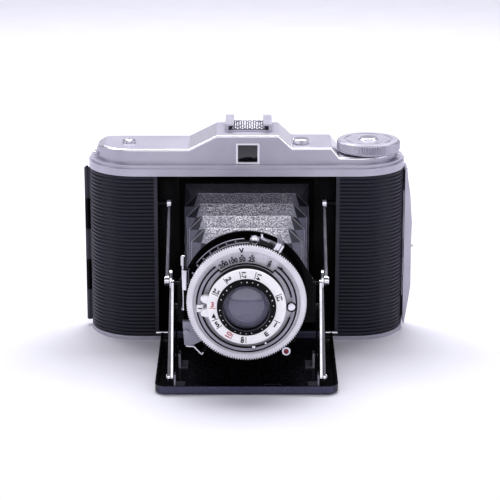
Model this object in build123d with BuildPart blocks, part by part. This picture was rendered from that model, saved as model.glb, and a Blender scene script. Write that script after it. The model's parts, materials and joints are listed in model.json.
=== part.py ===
from build123d import *
import math
import os

# Folding roll-film camera with an optical viewfinder, 6 x 6 cm pictures on 120 film, front door open.
# Millimetres. The origin is the mouth of the tripod socket, +Z is up and the lens looks along -Y.
# "Ahead" is a distance in front of the origin, which is -Y.

os.makedirs("parts", exist_ok=True)

# Body plan
half_width = 74.0
front_ahead = 19.0
corner_x = 51.0
corner_y = 4.0
corner_radius = 23.0
rear_y = 19.4
rear_radius = 13.0
seam_y = 6.0
skin = 0.8
fit_gap = 0.05

# Tripod bush, with a quarter-inch thread drawn as its plain core hole
bush_outer = 5.5
bush_bore = 2.55
bush_length = 4.5

# Body heights
base_top = 2.0
rim_bottom = 79.3
rim_step = 82.7
rim_top = 84.3

# Bellows well, film gate and spool chambers
well_half = 41.2
well_floor = 4.0
wall_outer = 43.4
gate_front = 10.5
gate_rear = 12.5
gate_size = 56.0
chamber_x = 56.7
chamber_y = -1.5
chamber_radius = 13.3
chamber_top = 77.3
spool_bottom = 6.3
spool_top = 72.3
roller_x = 46.0
roller_y = 9.8

# Top housing
cover_inset = 3.5
cover_rear = 13.6
cover_wall = 1.2
hump_top = 97.7
left_deck = 91.2
middle_deck = 91.8
right_deck = 87.2
finder_x = 0.45
finder_z = 89.35
finder_width = 10.9
finder_height = 9.7
eyepiece_z = 89.4
eyepiece_radius = 4.2
shoe_x = 0.85
shoe_y = 2.95
shoe_width = 21.7
shoe_depth = 20.9
shoe_slot = 18.6
shoe_opening = 13.5
shoe_slot_height = 2.0

# Controls on the top
knob_radius = 14.7
knob_bottom = 87.7
knob_top = 93.0
release_x = -54.8
release_y = -1.2
opener_x = 25.1
opener_y = -5.5

# Rear door
back_hinge_x = -75.4
back_hinge_y = 6.0
window_x = 22.0

# Front door and linkage, as (ahead, height)
lens_height = 39.3
door_hinge = (18.5, 3.6)
door_half = 40.1
door_start = 19.7
door_end = 93.8
door_under = 0.8
door_inner = 1.9
flange_top = 4.0
foot_ahead = 88.0
strut_foot = (88.5, 6.6)
link_foot = (60.1, 6.6)
standard_pivot = (69.0, 43.3)
link_head = (69.0, 32.5)
brace_top = (16.5, 66.0)
brace_upper_length = 42.95
link_layer = (31.0, 31.8)
strut_layer = (32.2, 33.2)
brace_layer = (33.6, 34.6)
rod_layer = (35.0, 36.8)

# Standard, shutter and lens, as distances ahead
plate_back = 68.4
plate_front = 69.6
plate_radius = 28.3
plate_ears = [(24.9, 52.7), (30.4, 43.9), (30.4, 25.6)]
case_front = 84.5
case_radius = 23.0
flange_radius = 24.6
sync_outline = [(-28.2, 28.5), (-21.5, 28.5), (-16.0, 21.8), (-23.4, 17.8), (-27.5, 17.8)]
ring_back = 78.5
ring_front = 85.0
ring_radius = 26.2
focus_back = 84.8
focus_front = 91.0
focus_radius = 17.2
cell_radius = 12.8
cell_front = 93.0
blade_pivot = 14.5
lens_crown = 92.1
lens_curve = 19.5

brace_span = math.dist(brace_top, strut_foot)
knee = (
    brace_top[0] + (strut_foot[0] - brace_top[0]) * brace_upper_length / brace_span,
    brace_top[1] + (strut_foot[1] - brace_top[1]) * brace_upper_length / brace_span,
)


def save(piece, name):
    piece.part.label = name
    export_step(piece.part, f"parts/{name}.step")


def plan_outline(inset, rear, rear_corner=0.0):
    """Plan of the body, drawn in the current sketch, with square or rounded rear corners."""
    side = half_width - inset
    front = -front_ahead + inset
    with BuildLine() as outline:
        Line((-corner_x, front), (corner_x, front))
        CenterArc((corner_x, corner_y), corner_radius - inset, -90, 90)
        CenterArc((-corner_x, corner_y), corner_radius - inset, 180, 90)
        if rear_corner:
            bend = rear_corner - inset
            arc_x = half_width - rear_corner
            arc_y = rear - bend
            Line((side, corner_y), (side, arc_y))
            CenterArc((arc_x, arc_y), bend, 0, 90)
            Line((arc_x, rear), (-arc_x, rear))
            CenterArc((-arc_x, arc_y), bend, 90, 90)
            Line((-side, arc_y), (-side, corner_y))
        else:
            Polyline((side, corner_y), (side, rear), (-side, rear), (-side, corner_y))
    make_face(outline.edges())


def plan_box(x0, x1, y0, y1, mode=Mode.ADD):
    """Rectangle between two corners in the current sketch."""
    with Locations(((x0 + x1) / 2, (y0 + y1) / 2)):
        Rectangle(x1 - x0, y1 - y0, mode=mode)


def block(x0, x1, y0, y1, z0, z1, mode=Mode.ADD):
    """Box between two corners in the current part."""
    with Locations(((x0 + x1) / 2, (y0 + y1) / 2, (z0 + z1) / 2)):
        Box(x1 - x0, y1 - y0, z1 - z0, mode=mode)


def post(x, y, radius, z0, z1, mode=Mode.ADD):
    """Upright round post or hole in the current part."""
    with Locations((x, y, (z0 + z1) / 2)):
        Cylinder(radius, z1 - z0, mode=mode)


def turned(radius, back, front, bore=0.0, x=0.0, z=lens_height, mode=Mode.ADD):
    """Disc or ring on an axis along Y, between two distances ahead."""
    with BuildSketch(Plane.XZ.offset(back)) as disc:
        with Locations((x, z)):
            Circle(radius)
            if bore:
                Circle(bore, mode=Mode.SUBTRACT)
    extrude(disc.sketch, amount=front - back, mode=mode)


def side_planes(layer):
    """Planes at the left face of a layer, on both sides of the lens."""
    return (Plane.YZ.offset(layer[0]), Plane.YZ.offset(-layer[1]))


def side_bar(start, end, width, layer, start_hole=0.0, end_hole=0.0, boss=0.0):
    """Flat bar with round ends on both sides of the lens; boss is the radius of a disc at its end."""
    reach = math.dist(start, end)
    tilt = math.degrees(math.atan2(end[1] - start[1], start[0] - end[0]))
    middle = (-(start[0] + end[0]) / 2, (start[1] + end[1]) / 2)
    for plane in side_planes(layer):
        with BuildSketch(plane) as bar:
            with Locations(middle):
                SlotCenterToCenter(reach, width, rotation=tilt)
            if boss:
                with Locations((-end[0], end[1])):
                    Circle(boss)
            for spot, hole in ((start, start_hole), (end, end_hole)):
                if hole:
                    with Locations((-spot[0], spot[1])):
                        Circle(hole, mode=Mode.SUBTRACT)
        extrude(bar.sketch, amount=layer[1] - layer[0])


def side_disc(spot, radius, layer, bore=0.0):
    """Round pin or washer across the camera on both sides of the lens."""
    for plane in side_planes(layer):
        with BuildSketch(plane) as disc:
            with Locations((-spot[0], spot[1])):
                Circle(radius)
                if bore:
                    Circle(bore, mode=Mode.SUBTRACT)
        extrude(disc.sketch, amount=layer[1] - layer[0])


def ring_sector(inner, outer, start, sweep, back, front, mode=Mode.ADD):
    """Part of a ring round the lens axis; angles run anticlockwise seen from the front."""
    with BuildSketch(Plane.XZ.offset(back)) as sector:
        with BuildLine() as outline:
            outside = CenterArc((0, lens_height), outer, start, sweep)
            inside = CenterArc((0, lens_height), inner, start, sweep)
            Line(inside @ 0, outside @ 0)
            Line(inside @ 1, outside @ 1)
        make_face(outline.edges())
    extrude(sector.sketch, amount=front - back, mode=mode)


# ---------------------------------------------------------------- body

with BuildPart() as body_casting:
    with BuildSketch(Plane.XY.offset(base_top)):
        plan_outline(skin, seam_y)
    extrude(amount=rim_bottom - base_top)
    block(-wall_outer, wall_outer, seam_y, gate_rear, well_floor, chamber_top)
    for low, high in ((3.6, 5.6), (75.6, chamber_top + 0.4)):
        block(-49, 49, seam_y, gate_rear, low, high)
    block(-well_half, well_half, -front_ahead, gate_front, well_floor, rim_bottom, mode=Mode.SUBTRACT)
    block(-well_half, well_half, -front_ahead, -16.8, base_top, well_floor, mode=Mode.SUBTRACT)
    with BuildSketch(Plane.XZ.offset(-gate_rear)):
        with Locations((0, lens_height)):
            Rectangle(gate_size, gate_size)
    extrude(amount=gate_rear - gate_front, mode=Mode.SUBTRACT)
    for side in (-1, 1):
        with BuildSketch(Plane.XY.offset(well_floor)):
            with Locations((side * chamber_x, chamber_y)):
                Circle(chamber_radius)
            with Locations((side * chamber_x, (chamber_y + seam_y) / 2)):
                Rectangle(2 * chamber_radius, seam_y - chamber_y)
        extrude(amount=chamber_top - well_floor, mode=Mode.SUBTRACT)
    block(-wall_outer, -well_half, seam_y, gate_rear, well_floor, chamber_top)
    block(well_half, wall_outer, seam_y, gate_rear, well_floor, chamber_top)
    post(chamber_x, chamber_y, 3.05, chamber_top - 1, rim_bottom + 1, mode=Mode.SUBTRACT)
    with BuildSketch(Plane.YZ.offset(-wall_outer)):
        with Locations((-door_hinge[0], door_hinge[1])):
            Circle(0.8)
    extrude(amount=2 * wall_outer, mode=Mode.SUBTRACT)
    post(0, 0, bush_outer, base_top - 1, bush_length, mode=Mode.SUBTRACT)
    side_disc(brace_top, 1.1, (rod_layer[0] - 0.2, well_half + 0.5))
    side_disc(brace_top, 1.6, (rod_layer[1] + 0.3, well_half + 0.5))
    for side in (-1, 1):
        post(side * roller_x, roller_y, 0.78, 4.0, 77.2)
        post(side * chamber_x, chamber_y, 5.0, well_floor, spool_bottom - 0.6)
        post(side * chamber_x, chamber_y, 2.4, well_floor, spool_bottom + 3.5)
    post(-chamber_x, chamber_y, 5.0, spool_top + 0.6, chamber_top)
    post(-chamber_x, chamber_y, 2.4, spool_top - 3.5, chamber_top)
save(body_casting, "body_casting")

with BuildPart() as base_plate:
    with BuildSketch():
        plan_outline(0, rear_y, rear_radius)
        Circle(bush_outer, mode=Mode.SUBTRACT)
    extrude(amount=base_top)
save(base_plate, "base_plate")

with BuildPart() as tripod_bush:
    with BuildSketch():
        Circle(bush_outer)
        Circle(bush_bore, mode=Mode.SUBTRACT)
    extrude(amount=bush_length)
save(tripod_bush, "tripod_bush")

for side, name in ((-1, "leather_front_left"), (1, "leather_front_right")):
    with BuildPart() as leather:
        with BuildSketch(Plane.XY.offset(base_top)):
            plan_outline(0, seam_y)
            plan_box(-half_width, half_width, 4.2, seam_y, mode=Mode.SUBTRACT)
            if side < 0:
                plan_box(-42.9, half_width, -front_ahead, seam_y, mode=Mode.SUBTRACT)
            else:
                plan_box(-half_width, 42.9, -front_ahead, seam_y, mode=Mode.SUBTRACT)
        extrude(amount=rim_bottom - base_top)
        with BuildSketch(Plane.XY.offset(base_top)):
            plan_outline(skin, seam_y)
        extrude(amount=rim_bottom - base_top, mode=Mode.SUBTRACT)
    save(leather, name)

with BuildPart() as opening_trim:
    for side in (-1, 1):
        left = well_half if side > 0 else -42.9
        block(left, left + 1.7, -front_ahead, -front_ahead + skin, base_top, rim_bottom)
    with BuildSketch(Plane.YZ.offset(-45)):
        with Locations((-door_hinge[0], door_hinge[1])):
            Circle(0.85)
    extrude(amount=90, mode=Mode.SUBTRACT)
save(opening_trim, "opening_trim")

with BuildPart() as top_rim:
    with BuildSketch(Plane.XY.offset(rim_bottom)):
        plan_outline(0, rear_y, rear_radius)
    extrude(amount=rim_step - rim_bottom)
    with BuildSketch(Plane.XY.offset(rim_step)):
        plan_outline(1.0, rear_y - 1.0, rear_radius)
    extrude(amount=rim_top - rim_step)
    with BuildSketch(Plane.XY.offset(rim_bottom + 1.2)):
        plan_outline(4.8, rear_y - 4.8, rear_radius)
    extrude(amount=rim_top - rim_bottom, mode=Mode.SUBTRACT)
    post(chamber_x, chamber_y, 3.05, rim_bottom - 1, rim_bottom + 2, mode=Mode.SUBTRACT)
save(top_rim, "top_rim")

deck_profile = [
    (-half_width, rim_top),
    (-half_width, rim_top + 1.5),
    (-71.6, rim_top + 1.5),
    (-69.4, left_deck - 1.2),
    (-66.0, left_deck),
    (-26.8, left_deck),
    (-13.9, hump_top),
    (14.7, hump_top),
    (21.0, middle_deck),
    (39.1, middle_deck),
    (42.8, right_deck),
    (half_width, right_deck),
    (half_width, rim_top),
]


def housing(inset, drop, rear):
    """Top housing as one solid: its plan, cut to its stepped outline seen from the front."""
    with BuildPart(mode=Mode.PRIVATE) as shape:
        with BuildSketch(Plane.XY.offset(rim_top)):
            plan_outline(inset, rear, rear_radius)
        extrude(amount=hump_top - rim_top)
        with BuildSketch(Plane.XZ.offset(-rear_y)):
            with BuildLine():
                Polyline(*[(x, z - drop if z > rim_top else z) for x, z in deck_profile], close=True)
            make_face()
        extrude(amount=rear_y + front_ahead, mode=Mode.INTERSECT)
    return shape.part


housing_outside = housing(cover_inset, 0.0, cover_rear)
housing_inside = housing(cover_inset + cover_wall, cover_wall, cover_rear - cover_wall)

with BuildPart() as top_cover:
    add(housing_outside)
    fillet(top_cover.edges().filter_by(lambda edge: edge.center().Z > right_deck - 0.1), 0.8)
    add(housing_inside, mode=Mode.SUBTRACT)
    block(
        finder_x - finder_width / 2, finder_x + finder_width / 2, -17, -13,
        finder_z - finder_height / 2, finder_z + finder_height / 2, mode=Mode.SUBTRACT,
    )
    turned(eyepiece_radius + fit_gap, -15, -11, x=finder_x, z=eyepiece_z, mode=Mode.SUBTRACT)
    post(chamber_x, chamber_y, 3.05, rim_top, 95, mode=Mode.SUBTRACT)
    post(release_x, release_y, 3.05, rim_top + 3, 95, mode=Mode.SUBTRACT)
    post(opener_x, opener_y, 3.75, rim_top + 3, 95, mode=Mode.SUBTRACT)
save(top_cover, "top_cover")

with BuildPart() as finder_frame:
    block(
        finder_x - finder_width / 2, finder_x + finder_width / 2, -16.1, -14.3,
        finder_z - finder_height / 2, finder_z + finder_height / 2,
    )
    block(finder_x - 4.5, finder_x + 4.5, -17, -14, finder_z - 4.05, finder_z + 4.05, mode=Mode.SUBTRACT)
save(finder_frame, "finder_frame")

with BuildPart() as finder_tube:
    block(finder_x - 5.6, finder_x + 5.6, -14.3, 11.6, rim_top + 0.1, 94.6)
    turned(eyepiece_radius, -14.9, -11.6, x=finder_x, z=eyepiece_z)
    turned(eyepiece_radius + 0.7, -15.0, -13.7, x=finder_x, z=eyepiece_z)
    block(finder_x - 4.8, finder_x + 4.8, -15, 11.0, rim_top + 0.9, 93.8, mode=Mode.SUBTRACT)
    turned(eyepiece_radius - 0.7, -16, -10, x=finder_x, z=eyepiece_z, mode=Mode.SUBTRACT)
save(finder_tube, "finder_tube")

with BuildPart() as finder_lenses:
    block(finder_x - 4.5, finder_x + 4.5, -15.4, -14.4, finder_z - 4.05, finder_z + 4.05)
    turned(eyepiece_radius - 0.7, -14.2, -12.8, x=finder_x, z=eyepiece_z)
save(finder_lenses, "finder_lenses")

with BuildPart() as accessory_shoe:
    left = shoe_x - shoe_width / 2
    right = shoe_x + shoe_width / 2
    front = shoe_y - shoe_depth / 2
    rear = shoe_y + shoe_depth / 2
    floor = hump_top + 0.8
    ceiling = floor + shoe_slot_height
    block(left, right, front, rear, hump_top, ceiling + 0.8)
    for wide, back_end, top in ((shoe_slot, rear - 1.2, ceiling), (shoe_opening, rear + 1, 105)):
        block(shoe_x - wide / 2, shoe_x + wide / 2, front - 1, back_end, floor, top, mode=Mode.SUBTRACT)
save(accessory_shoe, "accessory_shoe")

with BuildPart() as shoe_spring:
    block(shoe_x - 8.2, shoe_x + 8.2, front + 1.0, rear - 2.0, floor, floor + 0.35)
save(shoe_spring, "shoe_spring")

with BuildPart() as cover_screws:
    for x in (shoe_x - 5, shoe_x + 5):
        for y in (shoe_y - 5, shoe_y + 6):
            post(x, y, 1.1, floor + 0.35, floor + 0.7)
    for side in (-1, 1):
        for y in (-1.5, 5.0):
            with Locations((side * 70.8, y, 86.0)):
                Cylinder(1.0, 0.6, rotation=(0, 90, 0))
save(cover_screws, "cover_screws")

with BuildPart() as bellows_frame:
    with BuildSketch(Plane.XZ.offset(-gate_front)):
        with Locations((0, lens_height)):
            Rectangle(64, 62)
            Rectangle(gate_size, gate_size, mode=Mode.SUBTRACT)
    extrude(amount=1.0)
save(bellows_frame, "bellows_frame")

with BuildPart() as bellows:
    for half_rear, half_front, mode in ((29.5, 22.0, Mode.ADD), (28.3, 20.8, Mode.SUBTRACT)):
        with BuildSketch(Plane.XZ.offset(-gate_front + 1.0)) as rear_end:
            with Locations((0, lens_height)):
                Rectangle(2 * half_rear, 2 * half_rear)
        with BuildSketch(Plane.XZ.offset(plate_back)) as front_end:
            with Locations((0, lens_height)):
                Rectangle(2 * half_front, 2 * half_front)
        loft(sections=[rear_end.sketch, front_end.sketch], mode=mode)
save(bellows, "bellows")

for side, name in ((-1, "film_roller_left"), (1, "film_roller_right")):
    with BuildPart() as roller:
        post(side * roller_x, roller_y, 2.2, 5.9, 75.3)
        post(side * roller_x, roller_y, 0.85, 5, 76, mode=Mode.SUBTRACT)
    save(roller, name)

with BuildPart() as door_hinge_pin:
    with BuildSketch(Plane.YZ.offset(-42.6)):
        with Locations((-door_hinge[0], door_hinge[1])):
            Circle(0.8)
    extrude(amount=85.2)
save(door_hinge_pin, "door_hinge_pin")

knuckle_count = 5
knuckle_pitch = 15.0


def back_knuckles(first, wall_x, web_y0, web_y1):
    """Every second knuckle of the rear door's hinge, each with its web to the wall."""
    for index in range(first, knuckle_count, 2):
        low = 2.6 + index * knuckle_pitch + 0.15
        high = low + knuckle_pitch - 0.3
        post(back_hinge_x, back_hinge_y, 1.3, low, high)
        block(back_hinge_x + 0.6, wall_x, web_y0, web_y1, low, high)
    post(back_hinge_x, back_hinge_y, 0.8, 0, 85, mode=Mode.SUBTRACT)


with BuildPart() as back_hinge:
    back_knuckles(0, -half_width + skin, 4.6, 5.9)
    post(back_hinge_x, back_hinge_y, 0.75, 2.4, 78.2)
save(back_hinge, "back_hinge")

# ---------------------------------------------------------------- film advance

with BuildPart() as advance_knob:
    post(chamber_x, chamber_y, knob_radius, knob_bottom, knob_top)
    with BuildSketch(Plane.XY.offset(knob_top - 0.6)):
        with Locations((chamber_x, chamber_y)):
            Circle(11.0)
            Circle(10.2, mode=Mode.SUBTRACT)
    extrude(amount=1.0, mode=Mode.SUBTRACT)
    post(chamber_x, chamber_y, 4.3, knob_top - 1.0, knob_top + 1, mode=Mode.SUBTRACT)
    chamfer(advance_knob.edges().filter_by(GeomType.CIRCLE).sort_by(SortBy.RADIUS)[-2:], 0.5)
save(advance_knob, "advance_knob")

with BuildPart() as knob_cap:
    post(chamber_x, chamber_y, 4.2, knob_top - 1.0, knob_top + 0.9)
    fillet(knob_cap.edges().filter_by(GeomType.CIRCLE).sort_by(Axis.Z)[-1:], 0.8)
save(knob_cap, "knob_cap")

with BuildPart() as winding_key:
    post(chamber_x, chamber_y, 3.0, spool_top + 0.8, knob_bottom)
    block(chamber_x - 3.0, chamber_x + 3.0, chamber_y - 0.6, chamber_y + 0.6, spool_top - 3.0, spool_top + 1)
save(winding_key, "winding_key")

with BuildPart() as take_up_spool:
    post(chamber_x, chamber_y, 5.5, spool_bottom, spool_top)
    for low in (spool_bottom, spool_top - 0.8):
        post(chamber_x, chamber_y, 12.5, low, low + 0.8)
    block(
        chamber_x - 3.3, chamber_x + 3.3, chamber_y - 0.8, chamber_y + 0.8,
        spool_top - 4.0, spool_top + 1, mode=Mode.SUBTRACT,
    )
    post(chamber_x, chamber_y, 2.5, spool_bottom - 1, spool_bottom + 4.5, mode=Mode.SUBTRACT)
    block(
        chamber_x - 0.6, chamber_x + 0.6, chamber_y - 8, chamber_y + 8,
        spool_bottom + 16, spool_top - 16, mode=Mode.SUBTRACT,
    )
save(take_up_spool, "take_up_spool")

# ---------------------------------------------------------------- push buttons

with BuildPart() as release_button:
    post(release_x, release_y, 3.0, left_deck - 2.2, left_deck + 1.2)
    post(release_x, release_y, 1.5, rim_top + 0.6, left_deck - 2.2)
    with Locations((release_x, release_y, left_deck + 3.4)):
        Sphere(3.0, mode=Mode.SUBTRACT)
    post(release_x, release_y, 0.9, left_deck - 2, left_deck + 2, mode=Mode.SUBTRACT)
save(release_button, "release_button")

with BuildPart() as opener_button:
    post(opener_x, opener_y, 3.7, middle_deck - 1.6, middle_deck + 2.5)
    post(opener_x, opener_y, 1.5, rim_top - 1.2, middle_deck - 1.6)
save(opener_button, "opener_button")

# ---------------------------------------------------------------- rear door

with BuildPart() as back_cover:
    with BuildSketch(Plane.XY.offset(base_top + 0.2)):
        plan_outline(skin, rear_y - skin, rear_radius)
        plan_box(-half_width, half_width, -front_ahead, seam_y + 0.2, mode=Mode.SUBTRACT)
    extrude(amount=rim_bottom - base_top - 0.4)
    with BuildSketch(Plane.XY.offset(base_top + 1.4)):
        plan_outline(skin + 1.2, rear_y - skin - 1.2, rear_radius)
    extrude(amount=rim_bottom - base_top - 2.8, mode=Mode.SUBTRACT)
    turned(7.0, -20.2, -18.0, x=window_x)
    for side in (-1, 1):
        block(
            window_x - 9, window_x + 20, rear_y, 21.2,
            lens_height + side * 7.0 - 0.6, lens_height + side * 7.0 + 0.6,
        )
        block(
            window_x - 9, window_x - 7, rear_y - 1.2, 21.2,
            lens_height + side * 7.0 - 0.6, lens_height + side * 7.0 + 0.6,
        )
        block(
            window_x + 18, window_x + 20, rear_y - 1.2, 21.2,
            lens_height + side * 7.0 - 0.6, lens_height + side * 7.0 + 0.6,
        )
    turned(4.6, -22, -16, x=window_x, z=lens_height, mode=Mode.SUBTRACT)
    back_knuckles(1, -half_width + skin + 0.6, seam_y + 0.2, 8.0)
save(back_cover, "back_cover")

with BuildPart() as leather_back:
    with BuildSketch(Plane.XY.offset(base_top + 0.8)):
        plan_outline(0, rear_y, rear_radius)
        plan_box(-half_width, half_width, -front_ahead, 9.6, mode=Mode.SUBTRACT)
    extrude(amount=rim_bottom - base_top - 1.6)
    with BuildSketch(Plane.XY.offset(base_top)):
        plan_outline(skin, rear_y - skin, rear_radius)
    extrude(amount=rim_bottom - base_top, mode=Mode.SUBTRACT)
    turned(7.0, -20, -16, x=window_x, z=lens_height, mode=Mode.SUBTRACT)
    for x0, x1 in ((window_x - 9, window_x - 6.9), (window_x + 18, window_x + 20)):
        for side in (-1, 1):
            block(
                x0, x1, 17, 22,
                lens_height + side * 7.0 - 0.6, lens_height + side * 7.0 + 0.6, mode=Mode.SUBTRACT,
            )
save(leather_back, "leather_back")

with BuildPart() as red_window:
    turned(4.55, -18.5, -17.7, x=window_x)
save(red_window, "red_window")

with BuildPart() as window_slide:
    block(window_x - 6.0, window_x + 6.0, 20.25, 21.0, lens_height - 6.3, lens_height + 6.3)
    block(window_x - 0.8, window_x + 0.8, 21.0, 21.8, lens_height - 3.5, lens_height + 3.5)
save(window_slide, "window_slide")

with BuildPart() as pressure_plate:
    block(-33, 33, 12.9, 13.7, lens_height - 30.5, lens_height + 30.5)
    turned(6.0, -15, -12, x=window_x, mode=Mode.SUBTRACT)
save(pressure_plate, "pressure_plate")

with BuildPart() as pressure_springs:
    for height in (lens_height - 16, lens_height + 16):
        with BuildSketch(Plane.XY.offset(height - 3)):
            with BuildLine():
                lower = [(-24, 13.7), (-18, 13.7), (0, 16.9), (18, 13.7), (24, 13.7)]
                upper = [(24, 14.2), (18.1, 14.2), (4, 17.35), (-4, 17.35), (-18.1, 14.2), (-24, 14.2)]
                Polyline(*lower, *upper, close=True)
            make_face()
        extrude(amount=6)
save(pressure_springs, "pressure_springs")

latch_outline = [
    (74.3, 2.4), (75.0, 2.4), (76.7, 13.4), (77.8, 21.5), (77.7, 41.0), (77.9, 52.5), (76.9, 66.0), (75.7, 74.0),
    (75.2, 79.0), (74.3, 79.0),
]
latch_knob_z = 40.0

with BuildPart() as latch_plate:
    with BuildSketch(Plane.XZ.offset(-9.0)):
        with BuildLine() as outline:
            Polyline(*latch_outline, close=True)
        make_face()
    extrude(amount=10.0)
    # slot for the knob and a pocket for its inner flange
    block(74.0, 85, 2.8, 5.2, latch_knob_z - 6.0, latch_knob_z + 2.0, mode=Mode.SUBTRACT)
    block(74.0, 76.2, 1.7, 6.3, latch_knob_z - 6.5, latch_knob_z + 2.5, mode=Mode.SUBTRACT)
    for low, high in ((4, 14), (66, 76)):
        block(half_width - skin, 74.9, 6.6, 9.0, low, high)
save(latch_plate, "latch_plate")

with BuildPart() as latch_knob:
    with Locations((77.0, 4.0, latch_knob_z)):
        Cylinder(1.1, 4.2, rotation=(0, 90, 0))
    with Locations((75.5, 4.0, latch_knob_z)):
        Cylinder(2.0, 0.8, rotation=(0, 90, 0))
save(latch_knob, "latch_knob")

# ---------------------------------------------------------------- front door


def door_outline(inset, start):
    """Plan of the door in the current sketch, rounded at its free corners."""
    half = door_half - inset
    end = door_end - inset
    bend = 5.0 - inset
    with BuildLine() as outline:
        Line((-half, -start), (half, -start))
        Line((half, -start), (half, -end + bend))
        CenterArc((half - bend, -end + bend), bend, -90, 90)
        Line((half - bend, -end), (-half + bend, -end))
        CenterArc((-half + bend, -end + bend), bend, 180, 90)
        Line((-half, -end + bend), (-half, -start))
    make_face(outline.edges())


with BuildPart() as door_panel:
    with BuildSketch(Plane.XY.offset(door_under)):
        door_outline(0, door_start)
    extrude(amount=flange_top - door_under)
    with BuildSketch(Plane.XY.offset(door_inner)):
        door_outline(1.0, door_start - 2)
    extrude(amount=5, mode=Mode.SUBTRACT)
    for centre in (-30, 0, 30):
        with BuildSketch(Plane.YZ.offset(centre - 7)):
            with Locations((-door_hinge[0], door_hinge[1])):
                Circle(1.35)
            with BuildLine():
                Polyline((-19.35, 2.6), (-19.8, 1.4), (-21.4, 1.9), (-19.85, 3.7), close=True)
            make_face()
        extrude(amount=14)
    with BuildSketch(Plane.YZ.offset(-45)):
        with Locations((-door_hinge[0], door_hinge[1])):
            Circle(0.86)
    extrude(amount=90, mode=Mode.SUBTRACT)
    with BuildSketch():
        with Locations((0, -foot_ahead)):
            RectangleRounded(16, 6, 2.5)
    extrude(amount=door_under)
save(door_panel, "door_panel")

with BuildPart() as door_covering:
    with BuildSketch(Plane.XY.offset(door_under - 0.5)):
        door_outline(0.8, door_start + 1.3)
        with Locations((0, -foot_ahead)):
            RectangleRounded(16, 6, 2.5, mode=Mode.SUBTRACT)
    extrude(amount=0.5)
save(door_covering, "door_covering")

with BuildPart() as door_brackets:
    for foot, layer, tip in ((strut_foot, link_layer, 34.9), (link_foot, (29.6, 30.6), 32.0)):
        for plane in side_planes(layer):
            with BuildSketch(plane):
                with BuildLine():
                    Polyline(
                        (-foot[0] - 3.8, door_inner), (-foot[0] + 5.5, door_inner),
                        (-foot[0] + 2.4, foot[1] + 1.6), (-foot[0] - 2.4, foot[1] + 1.6), close=True,
                    )
                make_face()
            extrude(amount=layer[1] - layer[0])
        side_disc(foot, 1.2 if tip > 33 else 1.0, (layer[1], tip))
    for foot, layer in ((strut_foot, (27.0, link_layer[0])), (link_foot, (26.4, 29.6))):
        for plane in side_planes(layer):
            with BuildSketch(plane):
                with Locations((-foot[0] + 0.85, door_inner + 0.3)):
                    Rectangle(9.3, 0.6)
            extrude(amount=layer[1] - layer[0])
save(door_brackets, "door_brackets")

with BuildPart() as door_catch:
    block(8.0, 15.0, -92.6, -91.4, door_inner, 4.7)
    block(8.0, 15.0, -92.6, -88.5, door_inner, door_inner + 0.6)
save(door_catch, "door_catch")

with BuildPart() as standard_struts:
    side_bar(strut_foot, standard_pivot, 3.4, strut_layer, start_hole=1.25, end_hole=1.15)
save(standard_struts, "standard_struts")

with BuildPart() as lower_braces:
    side_bar(strut_foot, knee, 3.8, brace_layer, start_hole=1.25, boss=5.4)
save(lower_braces, "lower_braces")

with BuildPart() as upper_braces:
    reach = brace_upper_length - 2.0
    tilt = math.atan2(knee[1] - brace_top[1], knee[0] - brace_top[0])
    for side in (-1, 1):
        start = Vector(side * 35.9, -brace_top[0] - 1.9 * math.cos(tilt), brace_top[1] + 1.9 * math.sin(tilt))
        run = Vector(0, -math.cos(tilt), math.sin(tilt))
        with BuildSketch(Plane(origin=start, z_dir=run)):
            Circle(0.8)
        extrude(amount=reach)
    side_disc(knee, 2.2, rod_layer)
    side_disc(brace_top, 2.3, rod_layer, bore=1.15)
save(upper_braces, "upper_braces")

with BuildPart() as black_links:
    side_bar(link_foot, link_head, 3.6, link_layer, start_hole=1.05)
    side_disc(link_head, 1.6, (30.6, 31.0))
    side_disc(link_head, 1.6, (31.8, 32.0))
save(black_links, "black_links")

# ---------------------------------------------------------------- standard, shutter and lens

with BuildPart() as standard_plate:
    with BuildSketch(Plane.XZ.offset(plate_back)):
        with BuildLine():
            Polyline(*plate_ears, *[(-x, z) for x, z in reversed(plate_ears)], close=True)
        make_face()
        with Locations((0, lens_height)):
            Circle(plate_radius)
            Circle(12.55, mode=Mode.SUBTRACT)
    extrude(amount=plate_front - plate_back)
    for plane in side_planes((29.4, 30.4)):
        with BuildSketch(plane):
            with Locations((-standard_pivot[0], 37.0)):
                RectangleRounded(5.2, 15.4, 1.0)
        extrude(amount=1.0)
    side_disc(standard_pivot, 1.1, (30.4, 33.3))
save(standard_plate, "standard_plate")

with BuildPart() as shutter_case:
    turned(case_radius, plate_front, case_front)
    turned(flange_radius, plate_front, ring_back - 0.3)
    turned(12.5, 66.9, plate_front)
    turned(9.92, case_front, 86.5)
    turned(21.5, 72.0, 82.5, mode=Mode.SUBTRACT)
    turned(8.6, 60.0, 90.0, mode=Mode.SUBTRACT)
    for index in range(3):
        turn = math.radians(90 + 120 * index)
        turned(
            0.66, 71.5, 83.0,
            x=blade_pivot * math.cos(turn), z=lens_height + blade_pivot * math.sin(turn),
        )
    ring_sector(22.4, 26.0, 200, 50, 73.2, 74.6, mode=Mode.SUBTRACT)
    ring_sector(22.4, 26.0, -65, 50, 75.8, 77.4, mode=Mode.SUBTRACT)
    ring_sector(22.4, 26.0, 35, 60, 74.6, 76.2, mode=Mode.SUBTRACT)
save(shutter_case, "shutter_case")

with BuildPart() as rear_lens_cell:
    turned(11.0, 62.0, 65.4, bore=8.0)
    turned(15.5, 65.4, 66.9, bore=8.0)
    turned(15.5, 66.9, plate_back, bore=12.5 + fit_gap)
save(rear_lens_cell, "rear_lens_cell")

with BuildPart() as rear_lens:
    turned(8.0, 62.8, 66.0)
save(rear_lens, "rear_lens")

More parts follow.
